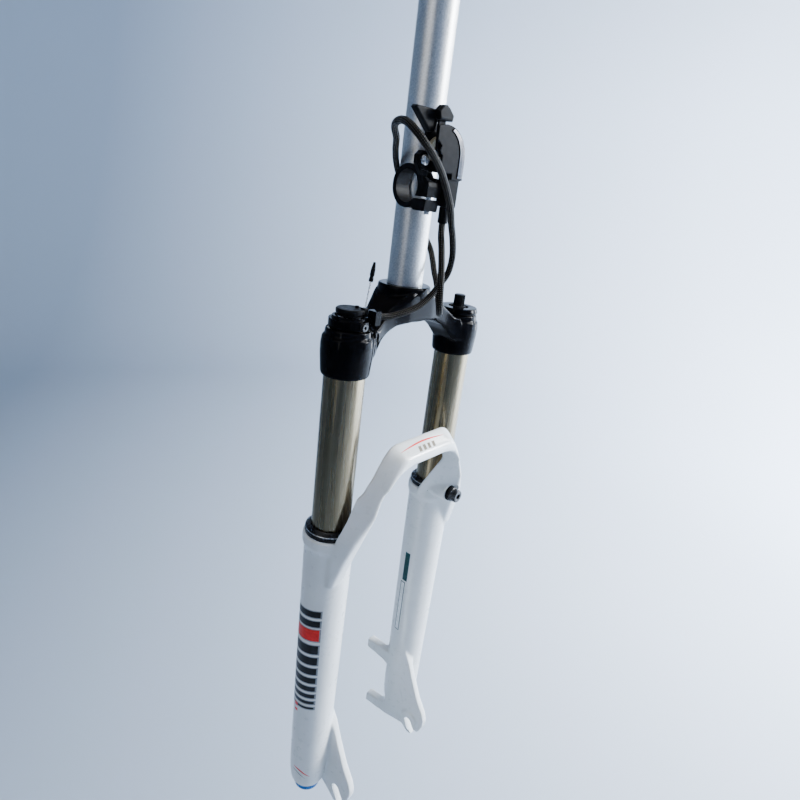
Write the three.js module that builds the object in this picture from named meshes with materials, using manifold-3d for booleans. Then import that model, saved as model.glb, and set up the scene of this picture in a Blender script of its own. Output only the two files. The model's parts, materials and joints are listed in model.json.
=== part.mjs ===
// Air-sprung bicycle suspension fork, 100 mm of travel, with a lockout worked by a bar-mounted lever.
//
// Frame: +X points forward, +Y to the rider's left and +Z up along the steerer. The origin is on the
// steerer axis where it meets the crown. Millimetres throughout.

import * as THREE from 'three';
import { mergeVertices } from 'three/addons/utils/BufferGeometryUtils.js';
import Module from 'manifold-3d';

const wasm = await Module();
wasm.setup();

// ---------------------------------------------------------------- driving dimensions

const gap = 0.3;                    // between touching pieces
const travel = 100;
const axleToCrown = 479;
const rake = 39;                    // axle in front of the steerer axis
const dropoutSpacing = 100;         // between the inner faces of the dropouts
const legSpacing = 138;             // between the leg axes
const crownOffset = 9;              // leg axes in front of the steerer axis
const crownDrop = 62.4;             // crown race down to the bottom of the sleeves
const sleeveTop = -27;
const bottomOutRoom = 35.6;         // left between the sleeves and the lower legs at full travel
const collarTop = -crownDrop - travel - bottomOutRoom;

const steererRadius = 14.3;
const steererBore = 12;
const steererLength = 255;          // above the crown
const steererBottom = -26;

const stanchionRadius = 16;
const stanchionBore = 14.2;
const stanchionTop = -28;
const stanchionBottom = -342;

const legBottom = -480;
const legCavityBottom = -464;
const shaftRadius = 5;
const pistonRadius = stanchionBore - gap;
const sealHead = { bottom: -340, top: -322 };
const piston = { bottom: -311, top: -298 };

const cableRadius = 2.5;
const barRadius = 11.1;             // 22.2 mm handlebar

const legSide = { right: -1, left: 1 };

// ---------------------------------------------------------------- materials

function material(color, roughness, metalness) {
  return new THREE.MeshStandardMaterial({ color, roughness, metalness });
}

const silver = material(0xb9bcbe, 0.35, 0.9);
const glossBlack = material(0x08080a, 0.15, 0.1);
const bronze = material(0x6f6c60, 0.25, 0.9);
const white = material(0xeef0f3, 0.2, 0.0);
const rubber = material(0x101012, 0.45, 0.0);
const blackPlastic = material(0x131315, 0.5, 0.0);
const braid = material(0x34322f, 0.6, 0.1);
const steel = material(0x8d9094, 0.3, 1.0);
const polymer = material(0x9a8f70, 0.6, 0.0);
const foam = material(0x3b3b3b, 0.9, 0.0);
const blue = material(0x1f6fb0, 0.3, 0.8);

// ---------------------------------------------------------------- shape helpers

function v2(x, y) {
  return new THREE.Vector2(x, y);
}

// Profile points are [radius, z]. The loop is closed and wound so that the faces point outward.
function lathe(profile, segments = 24) {
  let area = 0;
  profile.forEach(([r, z], i) => {
    const [nextR, nextZ] = profile[(i + 1) % profile.length];
    area += r * nextZ - nextR * z;
  });
  const wound = area > 0 ? profile : [...profile].reverse();
  const points = [...wound, wound[0]].map(([r, z]) => v2(r, z));
  return new THREE.LatheGeometry(points, segments).rotateX(Math.PI / 2);
}

function rod(radius, bottom, top, segments = 20) {
  return lathe([[0, bottom], [radius, bottom], [radius, top], [0, top]], segments);
}

function tube(outer, inner, bottom, top, segments = 24) {
  return lathe([[inner, bottom], [outer, bottom], [outer, top], [inner, top]], segments);
}

function box(x0, x1, y0, y1, z0, z1) {
  return new THREE.BoxGeometry(x1 - x0, y1 - y0, z1 - z0)
    .translate((x0 + x1) / 2, (y0 + y1) / 2, (z0 + z1) / 2);
}

// A rod whose own length runs along +X or +Y instead of +Z.
function rodAlong(axis, radius, from, to, segments = 24) {
  const geometry = rod(radius, from, to, segments);
  return axis === 'x' ? geometry.rotateY(Math.PI / 2) : geometry.rotateX(-Math.PI / 2);
}

function tubeAlong(axis, outer, inner, from, to, segments = 24) {
  const geometry = tube(outer, inner, from, to, segments);
  return axis === 'x' ? geometry.rotateY(Math.PI / 2) : geometry.rotateX(-Math.PI / 2);
}

function shapeOf(points) {
  return new THREE.Shape(points.map(([x, y]) => v2(x, y)));
}

function extrude(shape, depth, bevel = 0) {
  return new THREE.ExtrudeGeometry(shape, {
    depth: depth - 2 * bevel,
    bevelEnabled: bevel > 0,
    bevelSize: bevel,
    bevelOffset: -bevel,
    bevelThickness: bevel,
    bevelSegments: 1,
    curveSegments: 10,
  }).translate(0, 0, bevel);
}

// An outline drawn in (y, z), made solid from x = from to x = to.
function plateYZ(shape, from, to, bevel = 0) {
  return extrude(shape, to - from, bevel)
    .rotateX(Math.PI / 2)
    .rotateZ(Math.PI / 2)
    .translate(from, 0, 0);
}

// The same, narrowed by an inset over a run at both ends.
function taperedPlateYZ(shape, from, to, run, inset) {
  return new THREE.ExtrudeGeometry(shape, {
    depth: to - from - 2 * run,
    bevelThickness: run,
    bevelSize: inset,
    bevelOffset: -inset,
    bevelSegments: 1,
  })
    .translate(0, 0, run)
    .rotateX(Math.PI / 2)
    .rotateZ(Math.PI / 2)
    .translate(from, 0, 0);
}

// An outline drawn in (x, z), made solid from y = from to y = to.
function plateXZ(shape, from, to, bevel = 0) {
  return extrude(shape, to - from, bevel)
    .rotateX(Math.PI / 2)
    .translate(0, to, 0);
}

// Mirrored to the other side of the fork, with its faces turned back outward.
function mirrorY(geometry) {
  const mirrored = geometry.index ? geometry.toNonIndexed() : geometry.clone();
  mirrored.scale(1, -1, 1);
  const { array } = mirrored.attributes.position;
  for (let i = 0; i < array.length; i += 9) {
    const first = array.slice(i, i + 3);
    array.copyWithin(i, i + 3, i + 6);
    array.set(first, i + 3);
  }
  return mirrored;
}

// A coil of round wire about the Z axis.
class Helix extends THREE.Curve {
  constructor(radius, bottom, top, turns) {
    super();
    Object.assign(this, { radius, bottom, top, turns });
  }

  getPoint(t, target = new THREE.Vector3()) {
    const angle = t * this.turns * 2 * Math.PI;
    return target.set(
      this.radius * Math.cos(angle),
      this.radius * Math.sin(angle),
      this.bottom + t * (this.top - this.bottom),
    );
  }
}

function coil(radius, wireRadius, bottom, top, turns) {
  const wire = new THREE.Shape().absarc(0, 0, wireRadius, 0, 2 * Math.PI);
  const stepsPerTurn = 10;
  return new THREE.ExtrudeGeometry(wire, {
    steps: turns * stepsPerTurn,
    curveSegments: 3,
    extrudePath: new Helix(radius, bottom, top, turns),
    bevelEnabled: false,
  });
}

// ---------------------------------------------------------------- joining and cutting

function toManifold(geometry) {
  const bare = geometry.clone();
  bare.deleteAttribute('normal');
  bare.deleteAttribute('uv');
  const merged = mergeVertices(bare, 1e-4);
  return new wasm.Manifold(new wasm.Mesh({
    numProp: 3,
    vertProperties: merged.attributes.position.array,
    triVerts: Uint32Array.from(merged.index.array),
  }));
}

function toGeometry(solid) {
  const mesh = solid.getMesh();
  const geometry = new THREE.BufferGeometry();
  geometry.setAttribute('position', new THREE.BufferAttribute(mesh.vertProperties, 3));
  geometry.setIndex(new THREE.BufferAttribute(mesh.triVerts, 1));
  geometry.computeVertexNormals();
  return geometry;
}

function join(first, ...others) {
  return others.reduce((sum, geometry) => sum.add(toManifold(geometry)), toManifold(first));
}

function cut(solid, ...tools) {
  return tools.reduce((rest, geometry) => rest.subtract(toManifold(geometry)), solid);
}

// ---------------------------------------------------------------- scene

const fork = new THREE.Group();

function add(parent, name, geometry, look) {
  const mesh = new THREE.Mesh(geometry, look);
  mesh.name = name;
  parent.add(mesh);
  return mesh;
}

function legGroup(side) {
  const group = new THREE.Group();
  group.position.set(crownOffset, legSide[side] * legSpacing / 2, 0);
  fork.add(group);
  return group;
}

const rightLeg = legGroup('right');
const leftLeg = legGroup('left');

// ---------------------------------------------------------------- steerer, crown and stanchions

function steererTube() {
  return tube(steererRadius, steererBore, steererBottom, steererLength, 32);
}

// Seen from the front: level over the steerer, falling to the sleeves, arched underneath.
function crownFrontOutline() {
  const topEdge = [[12, -3], [30, -13], [43, -22], [51, -27.8], [56, -28.5]];
  const undersideEdge = [[60, -50], [51, -49], [43, -39.5], [34, -32.5], [24, -28.6], [10, -27]];
  const half = [...topEdge, ...undersideEdge];
  const mirrored = half.map(([y, z]) => [-y, z]).reverse();
  return shapeOf([...half, ...mirrored]);
}

// Seen from above: full width over the steerer, waisted towards the sleeves.
function crownPlanOutline() {
  const front = [[60, 27], [50, 21.5], [40, 18.5], [28, 18.5], [14, 21]];
  const back = [[14, -19], [28, -11], [40, -5], [50, -3], [60, -4]];
  const mirror = (points) => points.map(([y, x]) => [-y, x]).reverse();
  const loop = [...front, ...mirror(front), ...mirror(back), ...back];
  return shapeOf(loop.map(([y, x]) => [x, y]));
}

function sleeve(y) {
  return lathe([
    [0, -crownDrop],
    [18, -crownDrop],
    [18.7, -crownDrop + 2],
    [19.9, -46],
    [19.9, -39],
    [18.9, -32.5],
    [17, sleeveTop - 1],
    [16.4, sleeveTop],
    [0, sleeveTop],
  ]).translate(crownOffset, y, 0);
}

function crown() {
  const boreRadius = stanchionRadius + gap;
  const legY = legSpacing / 2;
  const arms = toManifold(plateYZ(crownFrontOutline(), -24, 30))
    .intersect(toManifold(extrude(crownPlanOutline(), 80).translate(0, 0, -75)));
  const body = arms
    .add(toManifold(lathe([[0, -27], [20, -27], [21.5, -8], [21.5, -1.2], [20.5, 0], [0, 0]], 32)))
    .add(toManifold(sleeve(legY)))
    .add(toManifold(sleeve(-legY)));
  return toGeometry(cut(
    body,
    rod(steererRadius + gap, -40, 10, 32),
    rod(boreRadius, -80, 0, 24).translate(crownOffset, legY, 0),
    rod(boreRadius, -80, 0, 24).translate(crownOffset, -legY, 0),
  ));
}

function stanchion() {
  return tube(stanchionRadius, stanchionBore, stanchionBottom, stanchionTop);
}

add(fork, 'steerer_tube', steererTube(), silver);
add(fork, 'crown', crown(), glossBlack);
add(rightLeg, 'stanchion_right', stanchion(), bronze);
add(leftLeg, 'stanchion_left', stanchion(), bronze);

// ---------------------------------------------------------------- air spring, left leg

const airCapTop = sleeveTop + 5.5;
const valve = { radius: 3.85, bore: 2.3, bottom: -46, top: -13 };

function airTopCap() {
  const holeRadius = valve.radius + gap;
  return lathe([
    [holeRadius, -44],
    [pistonRadius, -44],
    [pistonRadius, sleeveTop + gap],
    [17, sleeveTop + gap],
    [17.6, sleeveTop + 2],
    [16.4, airCapTop],
    [9, airCapTop],
    [9, airCapTop - 2.5],
    [holeRadius, airCapTop - 2.5],
  ]);
}

function valveCap() {
  const bottom = airCapTop - 2.5 + gap;
  const top = -11;
  return lathe([
    [valve.radius + gap, bottom],
    [6.6, bottom],
    [6.6, bottom + 2.4],
    [5, bottom + 2.8],
    [5, top - 0.6],
    [4.4, top],
    [0, top],
    [0, top - 1.2],
    [valve.radius + gap, top - 1.2],
  ], 20);
}

function valveStem() {
  return tube(valve.radius, valve.bore, valve.bottom, valve.top, 20);
}

// Poppet of the valve core: pressed down by 1.5 mm it lets air pass.
function valvePin() {
  return lathe([
    [0, valve.bottom + 4], [1.9, valve.bottom + 4], [1.9, valve.bottom + 6],
    [0.8, valve.bottom + 7], [0.8, valve.top - 1], [0, valve.top - 1],
  ], 12);
}

function sealHeadRing(boreRadius) {
  return lathe([
    [boreRadius, sealHead.bottom],
    [pistonRadius - 1, sealHead.bottom],
    [pistonRadius, sealHead.bottom + 1],
    [pistonRadius, sealHead.top],
    [boreRadius, sealHead.top],
  ]);
}

function pistonDisc() {
  const bore = shaftRadius + gap;
  const middle = (piston.bottom + piston.top) / 2;
  return lathe([
    [bore, piston.bottom],
    [pistonRadius, piston.bottom],
    [pistonRadius, middle - 2],
    [pistonRadius - 1.5, middle - 2],
    [pistonRadius - 1.5, middle + 2],
    [pistonRadius, middle + 2],
    [pistonRadius, piston.top],
    [bore, piston.top],
  ]);
}

const shaftBottom = legCavityBottom + gap;
const shaftTop = piston.top + 3;
const footThread = { radius: 3.2, top: legCavityBottom + 14 };

add(leftLeg, 'air_top_cap', airTopCap(), glossBlack);
add(leftLeg, 'air_valve_stem', valveStem(), steel);
add(leftLeg, 'air_valve_pin', valvePin(), steel);
add(leftLeg, 'air_valve_cap', valveCap(), blackPlastic);
add(leftLeg, 'air_seal_head', sealHeadRing(shaftRadius + gap), steel);
add(leftLeg, 'air_piston', pistonDisc(), polymer);

// Solid rod, drilled at the foot for the bolt.
function airShaft() {
  return lathe([
    [footThread.radius + gap, shaftBottom],
    [shaftRadius, shaftBottom],
    [shaftRadius, shaftTop],
    [0, shaftTop],
    [0, footThread.top + gap],
    [footThread.radius + gap, footThread.top + gap],
  ], 20);
}

add(leftLeg, 'air_shaft', airShaft(), steel);
add(leftLeg, 'negative_spring', coil(7.6, 1.1, sealHead.top + 1.6, piston.bottom - 1.6, 2), steel);

// ---------------------------------------------------------------- damper, right leg

const housing = { flangeTop: -20, top: -18, cavityBottom: -25, cavityRadius: 11.2 };
const controlRodRadius = 2.6;
const compressionPiston = { bottom: -166, top: -150 };

// Damper top cap with the lockout spool housing and the cable stop in one piece. The cable leaves
// the stop along +Y, in front of the cap.
const cableStop = { x: 12.5, z: -17.2, halfWidth: 4.6, from: 8.6, to: 14.5 };
const ferruleRadius = 3.2;

function lockoutHousing() {
  const boreRadius = controlRodRadius + gap;
  const cap = lathe([
    [boreRadius, -44],
    [pistonRadius, -44],
    [pistonRadius, sleeveTop + gap],
    [15, sleeveTop + gap],
    [15.6, sleeveTop + 1.5],
    [15.6, housing.flangeTop],
    [13.2, housing.flangeTop],
    [13.2, housing.top],
    [housing.cavityRadius, housing.top],
    [housing.cavityRadius, housing.cavityBottom],
    [boreRadius, housing.cavityBottom],
  ]);
  const stop = box(
    cableStop.x - 4, cableStop.x + cableStop.halfWidth,
    cableStop.from, cableStop.to,
    cableStop.z - cableStop.halfWidth - 1, cableStop.z + cableStop.halfWidth,
  );
  const dialClearance = rod(13, housing.top, 0);
  const ferruleHole = rodAlong('y', ferruleRadius + gap, 10.2, 20)
    .translate(cableStop.x, 0, cableStop.z);
  const wireHole = rodAlong('y', 1.2, 0, 12, 12).translate(cableStop.x, 0, cableStop.z);
  const screwHole = rodAlong('x', 1.6 + gap, 11.8, 30, 16).translate(0, -2.4, -23);
  const blank = join(cap, stop);
  return toGeometry(cut(blank, dialClearance, ferruleHole, wireHole, screwHole));
}

function clampScrew() {
  const shank = rodAlong('x', 1.6, 12.1, 16, 16);
  const head = rodAlong('x', 2.7, 15.9, 18.4, 16);
  const socket = rodAlong('x', 1.3, 16.8, 20, 6);
  return toGeometry(cut(join(shank, head), socket)).translate(0, -2.4, -23);
}

const tail = { x: 8, y: 5.6, bottom: -17, top: 10.4, lean: THREE.MathUtils.degToRad(9) };

// The spool turns the control rod. Its rim carries the cable clamp.
function lockoutDial() {
  const bottom = housing.top + gap;
  const disc = lathe([
    [controlRodRadius + gap, housing.cavityBottom + gap],
    [4.9, housing.cavityBottom + gap],
    [4.9, bottom],
    [10.2, bottom],
    [10.2, bottom + 0.7],
    [8.6, bottom + 1],
    [8.6, bottom + 1.6],
    [10.9, bottom + 1.9],
    [10.9, bottom + 4.6],
    [10.2, bottom + 5.2],
    [0, bottom + 5.2],
    [0, bottom + 3.2],
    [controlRodRadius + gap, bottom + 3.2],
  ], 24);
  const clampLug = box(5.5, 9.8, 4.2, 8, bottom, bottom + 6.4);
  const wireHole = alongTail(rod(0.95, tail.bottom - 5, 0, 10));
  const screwHole = rod(1.5 + gap, bottom + 3, 0, 12).translate(1.5, 5, 0);
  return toGeometry(cut(join(disc, clampLug), wireHole, screwHole));
}

const dialTop = housing.top + gap + 5.2;

function dialPin() {
  return rod(1.5, dialTop - 1.9, dialTop + 1.6, 12).translate(1.5, 5, 0);
}

// The clamped wire leans towards the cable stop.
function alongTail(geometry) {
  return geometry
    .translate(0, 0, -tail.bottom)
    .rotateX(-tail.lean)
    .translate(tail.x, tail.y, tail.bottom);
}

function innerCableTail() {
  return alongTail(rod(0.6, tail.bottom, tail.top, 8));
}

// Crimped sleeve, pinched at its lower third and tapered to its tip.
function cableEndCap() {
  return alongTail(lathe([
    [0.9, 7.6], [1.75, 7.6], [1.75, 10], [1.35, 11.2], [1.8, 12.6], [1.7, 16.6], [0.9, 21.6],
    [0, 21.6], [0, tail.top + gap], [0.9, tail.top + gap],
  ], 12));
}

function controlRod() {
  return rod(controlRodRadius, compressionPiston.bottom + 4, housing.top + gap + 2.9, 16);
}

function compressionTube() {
  return tube(6.5, controlRodRadius + gap, compressionPiston.top + gap, -44 - gap, 20);
}

function compressionPistonDisc() {
  return lathe([
    [controlRodRadius + gap, compressionPiston.bottom],
    [pistonRadius, compressionPiston.bottom],
    [pistonRadius, compressionPiston.bottom + 5],
    [pistonRadius - 1.5, compressionPiston.bottom + 6],
    [pistonRadius - 1.5, compressionPiston.top - 6],
    [pistonRadius, compressionPiston.top - 5],
    [pistonRadius, compressionPiston.top],
    [controlRodRadius + gap, compressionPiston.top],
  ]);
}

add(rightLeg, 'lockout_housing', lockoutHousing(), glossBlack);
add(rightLeg, 'housing_clamp_screw', clampScrew(), steel);
add(rightLeg, 'lockout_dial', lockoutDial(), blackPlastic);
add(rightLeg, 'dial_stop_pin', dialPin(), blackPlastic);
add(rightLeg, 'dial_return_spring', coil(8, 0.7, housing.cavityBottom + 1.2, housing.top - 1.2, 3), steel);
add(rightLeg, 'inner_cable_tail', innerCableTail(), steel);
add(rightLeg, 'cable_end_cap', cableEndCap(), blackPlastic);
add(rightLeg, 'lockout_control_rod', controlRod(), steel);
add(rightLeg, 'compression_tube', compressionTube(), steel);
add(rightLeg, 'compression_piston', compressionPistonDisc(), polymer);
add(rightLeg, 'damper_seal_head', sealHeadRing(shaftRadius + gap), steel);
add(rightLeg, 'rebound_piston', pistonDisc(), polymer);

// Hollow shaft, with the rebound adjuster's rod inside.
const reboundRodRadius = 1.6;
const hollowFoot = { bore: reboundRodRadius + gap, thread: footThread.radius };

function reboundShaft() {
  return lathe([
    [hollowFoot.thread + gap, shaftBottom],
    [shaftRadius, shaftBottom],
    [shaftRadius, shaftTop],
    [hollowFoot.bore, shaftTop],
    [hollowFoot.bore, footThread.top + gap],
    [hollowFoot.thread + gap, footThread.top + gap],
  ], 20);
}

add(rightLeg, 'rebound_shaft', reboundShaft(), steel);
add(rightLeg, 'top_out_bumper', tube(9, shaftRadius + gap, sealHead.top + gap, piston.bottom - gap, 20), rubber);

// ---------------------------------------------------------------- lower legs

// Outline of one leg and of its blind bore, as [radius, z].
const legProfile = [
  [0, legBottom],
  [11, legBottom],
  [14.4, legBottom + 2],
  [16.4, legBottom + 6],
  [17.5, legBottom + 15],
  [18.1, legBottom + 30],
  [19.2, -350],
  [20.6, -211],
  [22.4, -206.5],
  [22.4, collarTop - 1.2],
  [21.6, collarTop],
  [0, collarTop],
];

const wiperPocketDepth = 8;
const foamPocketDepth = 18;
const bushingSeat = { radius: 17.5, top: collarTop - foamPocketDepth, bottom: -326 };

const cavityProfile = [
  [0, legCavityBottom],
  [12, legCavityBottom],
  [16.5, legCavityBottom + 8],
  [16.5, bushingSeat.bottom],
  [bushingSeat.radius, bushingSeat.bottom],
  [bushingSeat.radius, bushingSeat.top],
  [18.8, bushingSeat.top],
  [18.8, collarTop - wiperPocketDepth],
  [20.3, collarTop - wiperPocketDepth],
  [20.3, collarTop + 1],
  [0, collarTop + 1],
];

const footBore = { radius: 4, recess: 8.4, recessTop: legBottom + 6, knobClearance: 12.8 };

// The arch starts from the fronts of both legs and leans forward as it rises. Its outer face tapers
// inward towards the front and its inner faces flare outward, so that they meet in a front ridge.
const arch = { back: 34.5, front: 52, taperFrom: 27, taperRun: 24, taperInset: 15, wiperClearance: 22.5 };
const archInner = {
  point: new THREE.Vector3(29, 40, -157),
  normal: new THREE.Vector3(0.517, -0.801, -0.304).normalize(),
};

function mirroredLoop(half) {
  return [...half, ...half.map(([y, z]) => [-y, z]).reverse()];
}

function archOuter() {
  const half = [
    [30, -114.2], [38, -116], [44, -120], [49, -125.5], [55, -134], [61, -144], [67, -155.5], [73, -169.5],
    [78, -182], [82, -194], [84, -212], [84, -262],
  ];
  return taperedPlateYZ(
    shapeOf(mirroredLoop(half)), arch.taperFrom - 80, arch.taperFrom + arch.taperRun,
    arch.taperRun, arch.taperInset,
  );
}

function archSide() {
  return plateXZ(shapeOf([
    [arch.back, -100], [arch.back, -140], [32.8, -156], [25, -170], [9.5, -198], [crownOffset, -245],
    [29.2, -240], [37, -211], [44.5, -186], [49.5, -171], [arch.front, -158], [arch.front, -100],
  ]), -100, 100);
}

// Everything on the leg's side of one inner face of the arch.
function archInnerBlock(side) {
  const size = 300;
  const into = archInner.normal.clone().negate();
  const block = new THREE.BoxGeometry(size, size, size)
    .translate(0, 0, size / 2)
    .applyQuaternion(new THREE.Quaternion().setFromUnitVectors(new THREE.Vector3(0, 0, 1), into))
    .translate(...archInner.point);
  return side === legSide.left ? block : mirrorY(block);
}

function archWindow() {
  const half = [[22, -137.5], [34, -140.5], [41, -145.5], [48, -152.5], [54, -160.5], [75, -195], [75, -300]];
  return cut(
    toManifold(plateYZ(shapeOf(mirroredLoop(half)), -50, 70)),
    archInnerBlock(legSide.left),
    archInnerBlock(legSide.right),
  );
}

function archBlank() {
  return toManifold(archOuter()).intersect(toManifold(archSide())).subtract(archWindow());
}

// Boss for the brake hose guide's screw, in front of the left leg.
const guideBoss = { y: 57.5, z: -194, radius: 8.5, from: 22, face: 38.5, bore: 3.3, boreEnd: 30.5 };

function guideBossBlank() {
  return rodAlong('x', guideBoss.radius, guideBoss.from, guideBoss.face, 24)
    .translate(0, guideBoss.y, guideBoss.z);
}

// Fork end: a blade in line with the inner side of the leg, reaching forward and down to the axle,
// with a raised round seat for the hub on its inner face.
const axle = { x: rake, z: -axleToCrown, slotRadius: 4.75 };
const blade = { inset: 2.5, thickness: 7.5, seatRadius: 11.5 };
const slotTilt = THREE.MathUtils.degToRad(33.5);

function bladeOutline() {
  return shapeOf([
    [2, -400], [9, -388], [19, -394], [26.5, -406], [34, -424], [45, -447], [54.5, -461], [57, -469],
    [56.5, -476], [52, -487], [46, -489], [44, -496], [38, -497], [30, -491], [20, -484.5], [2, -481],
  ]);
}

function axleSlot() {
  const length = 30;
  const outline = new THREE.Shape();
  outline.absarc(0, 0, axle.slotRadius, 0, Math.PI);
  outline.lineTo(-axle.slotRadius, -length);
  outline.lineTo(axle.slotRadius, -length);
  const across = legSpacing + 60;
  return extrude(outline, across)
    .rotateZ(slotTilt)
    .rotateX(Math.PI / 2)
    .translate(axle.x, across / 2, axle.z);
}

// Post-mount tabs for the disc caliper, behind the left leg, 74 mm apart.
const caliper = { spacing: 74, lowerZ: -493.5, lowerX: -24.5, upperX: -32, y0: 52.5, y1: 62.5, holeRadius: 2.5 };

function caliperTabs() {
  const upperZ = caliper.lowerZ + caliper.spacing;
  const upper = shapeOf([
    [caliper.upperX, upperZ + 6], [4, upperZ + 7], [4, upperZ - 12], [-8, upperZ - 7], [caliper.upperX, upperZ - 5],
  ]);
  const lower = shapeOf([
    [caliper.lowerX, caliper.lowerZ + 6], [-6, caliper.lowerZ + 8], [4, caliper.lowerZ + 16],
    [20, caliper.lowerZ + 3], [4, caliper.lowerZ - 3], [caliper.lowerX, caliper.lowerZ - 5],
  ]);
  return [plateXZ(upper, caliper.y0, caliper.y1), plateXZ(lower, caliper.y0, caliper.y1)];
}

function caliperHoles() {
  const rows = [[caliper.lowerX, caliper.lowerZ + 0.5], [caliper.upperX, caliper.lowerZ + caliper.spacing + 0.5]];
  return rows.map(([x, z]) => rodAlong('x', caliper.holeRadius, x - 5, x + 15, 12)
    .translate(0, (caliper.y0 + caliper.y1) / 2, z));
}

function lowerCasting() {
  let blank = archBlank().add(toManifold(guideBossBlank()));
  const tools = [
    axleSlot(),
    ...caliperHoles(),
    rodAlong('x', guideBoss.bore, guideBoss.boreEnd, 60, 16).translate(0, guideBoss.y, guideBoss.z),
    rodAlong('x', guideBoss.radius - gap, guideBoss.face, 70, 24).translate(0, guideBoss.y, guideBoss.z),
  ];
  for (const side of Object.values(legSide)) {
    const legY = side * legSpacing / 2;
    const seatFace = side * dropoutSpacing / 2;
    const bladeInner = seatFace + side * blade.inset;
    const bladeOuter = bladeInner + side * blade.thickness;
    const [lowY, highY] = [bladeInner, bladeOuter].sort((first, second) => first - second);
    const [seatLow, seatHigh] = [seatFace, bladeOuter].sort((first, second) => first - second);
    blank = blank
      .add(toManifold(lathe(legProfile).translate(crownOffset, legY, 0)))
      .add(toManifold(plateXZ(bladeOutline(), lowY, highY)))
      .add(toManifold(rodAlong('y', blade.seatRadius, seatLow, seatHigh).translate(axle.x, 0, axle.z)));
    tools.push(
      rod(arch.wiperClearance, collarTop, 0, 24).translate(crownOffset, legY, 0),
      lathe(cavityProfile).translate(crownOffset, legY, 0),
      rod(footBore.radius, legBottom - 5, legCavityBottom + 5, 20).translate(crownOffset, legY, 0),
      rod(footBore.recess, legBottom - 5, footBore.recessTop, 24).translate(crownOffset, legY, 0),
    );
  }
  tools.push(rod(footBore.knobClearance, legBottom - 20, legBottom, 24)
    .translate(crownOffset, legSide.right * legSpacing / 2, 0));
  caliperTabs().forEach((tab) => {
    blank = blank.add(toManifold(tab));
  });
  return toGeometry(cut(blank, ...tools));
}

add(fork, 'lower_casting', lowerCasting(), white);

// ---------------------------------------------------------------- pieces repeated in both legs

const slideGap = 0.2;

function dustWiper() {
  const seat = collarTop - wiperPocketDepth + gap;
  const lip = collarTop + 7.5;
  const inner = stanchionRadius + slideGap;
  return lathe([
    [inner, seat], [20, seat], [20, collarTop + gap], [21, collarTop + gap], [21, collarTop + 3.4],
    [20.2, collarTop + 4], [20.6, collarTop + 4.8], [18.4, lip - 0.6], [17.6, lip], [inner, lip],
  ]);
}

function foamRing() {
  const top = collarTop - wiperPocketDepth - gap;
  const bottom = collarTop - foamPocketDepth + gap;
  return tube(18.4, stanchionRadius + slideGap, bottom, top);
}

function bushing(bottom, top) {
  return tube(bushingSeat.radius - gap, stanchionRadius + slideGap, bottom, top);
}

// Elastomer stop, standing on the floor of the leg round the shaft.
function bottomOutBumper() {
  const floor = legCavityBottom + gap;
  return lathe([
    [shaftRadius + gap, floor], [9.5, floor], [10.5, floor + 3], [8.5, floor + 12], [shaftRadius + gap, floor + 12],
  ], 20);
}

function guideScrew() {
  const shank = rodAlong('x', guideBoss.bore - gap, guideBoss.boreEnd + gap, 42, 16);
  const head = lathe([[0, 41.3], [6.6, 41.3], [7, 42.3], [7, 43.6], [6.2, 44], [6.2, 48.4], [5.6, 49.2], [0, 49.2]], 24)
    .rotateY(Math.PI / 2);
  const socket = rodAlong('x', 2.9, 44.6, 52, 6);
  return toGeometry(cut(join(shank, head), socket)).translate(0, guideBoss.y, guideBoss.z);
}

function guideWasher() {
  return tubeAlong('x', 7.4, guideBoss.bore, guideBoss.face + gap, 41, 24).translate(0, guideBoss.y, guideBoss.z);
}

add(fork, 'hose_guide_screw', guideScrew(), blackPlastic);
add(fork, 'hose_guide_washer', guideWasher(), blackPlastic);

for (const [name, leg] of Object.entries({ right: rightLeg, left: leftLeg })) {
  add(leg, `dust_wiper_${name}`, dustWiper(), rubber);
  add(leg, `foam_ring_${name}`, foamRing(), foam);
  add(leg, `upper_bushing_${name}`, bushing(bushingSeat.top - 15, bushingSeat.top - gap), polymer);
  add(leg, `lower_bushing_${name}`, bushing(bushingSeat.bottom + gap, bushingSeat.bottom + 15), polymer);
  add(leg, `bottom_out_bumper_${name}`, bottomOutBumper(), rubber);
}

// ---------------------------------------------------------------- foot bolts and rebound knob

// Bolts come up through the foot of each leg into the shafts.
function footBolt(boreRadius) {
  const headBottom = footBore.recessTop - 3.2;
  const headTop = footBore.recessTop - gap;
  return lathe([
    [boreRadius, headBottom], [6.5, headBottom], [6.5, headTop],
    [footThread.radius, headTop], [footThread.radius, footThread.top], [boreRadius, footThread.top],
  ], 20);
}

function leftFootBolt() {
  const socket = rod(2.9, footBore.recessTop - 10, footBore.recessTop - 1.6, 6);
  return toGeometry(cut(toManifold(footBolt(0)), socket));
}

// Wide knob under the foot, on a thin rod that reaches up to the damper.
function reboundKnob() {
  const top = footBore.recessTop - 3.2 - gap;
  const rim = { radius: 12.2, bottom: legBottom - 6, top: legBottom - 2 * gap };
  const rodTop = shaftTop - 1;
  return lathe([
    [0, rim.bottom], [rim.radius - 1, rim.bottom], [rim.radius, rim.bottom + 1], [rim.radius, rim.top],
    [7.6, rim.top], [7.6, top], [reboundRodRadius, top], [reboundRodRadius, rodTop], [0, rodTop],
  ], 24);
}

add(rightLeg, 'foot_bolt_right', footBolt(hollowFoot.bore), steel);
add(leftLeg, 'foot_bolt_left', leftFootBolt(), steel);
add(rightLeg, 'rebound_knob', reboundKnob(), blue);

// ---------------------------------------------------------------- lockout lever

// The lever hangs beside the steerer on its cable. In its own frame u (x) points out of the cover,
// v (y) runs along the handlebar that the clamp fits, and w (z) is up; the clamp's centre is at 0.
const lever = new THREE.Group();
lever.position.set(16.6, -24.5, 74.3);
lever.rotation.z = THREE.MathUtils.degToRad(-7.2);
fork.add(lever);

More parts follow.
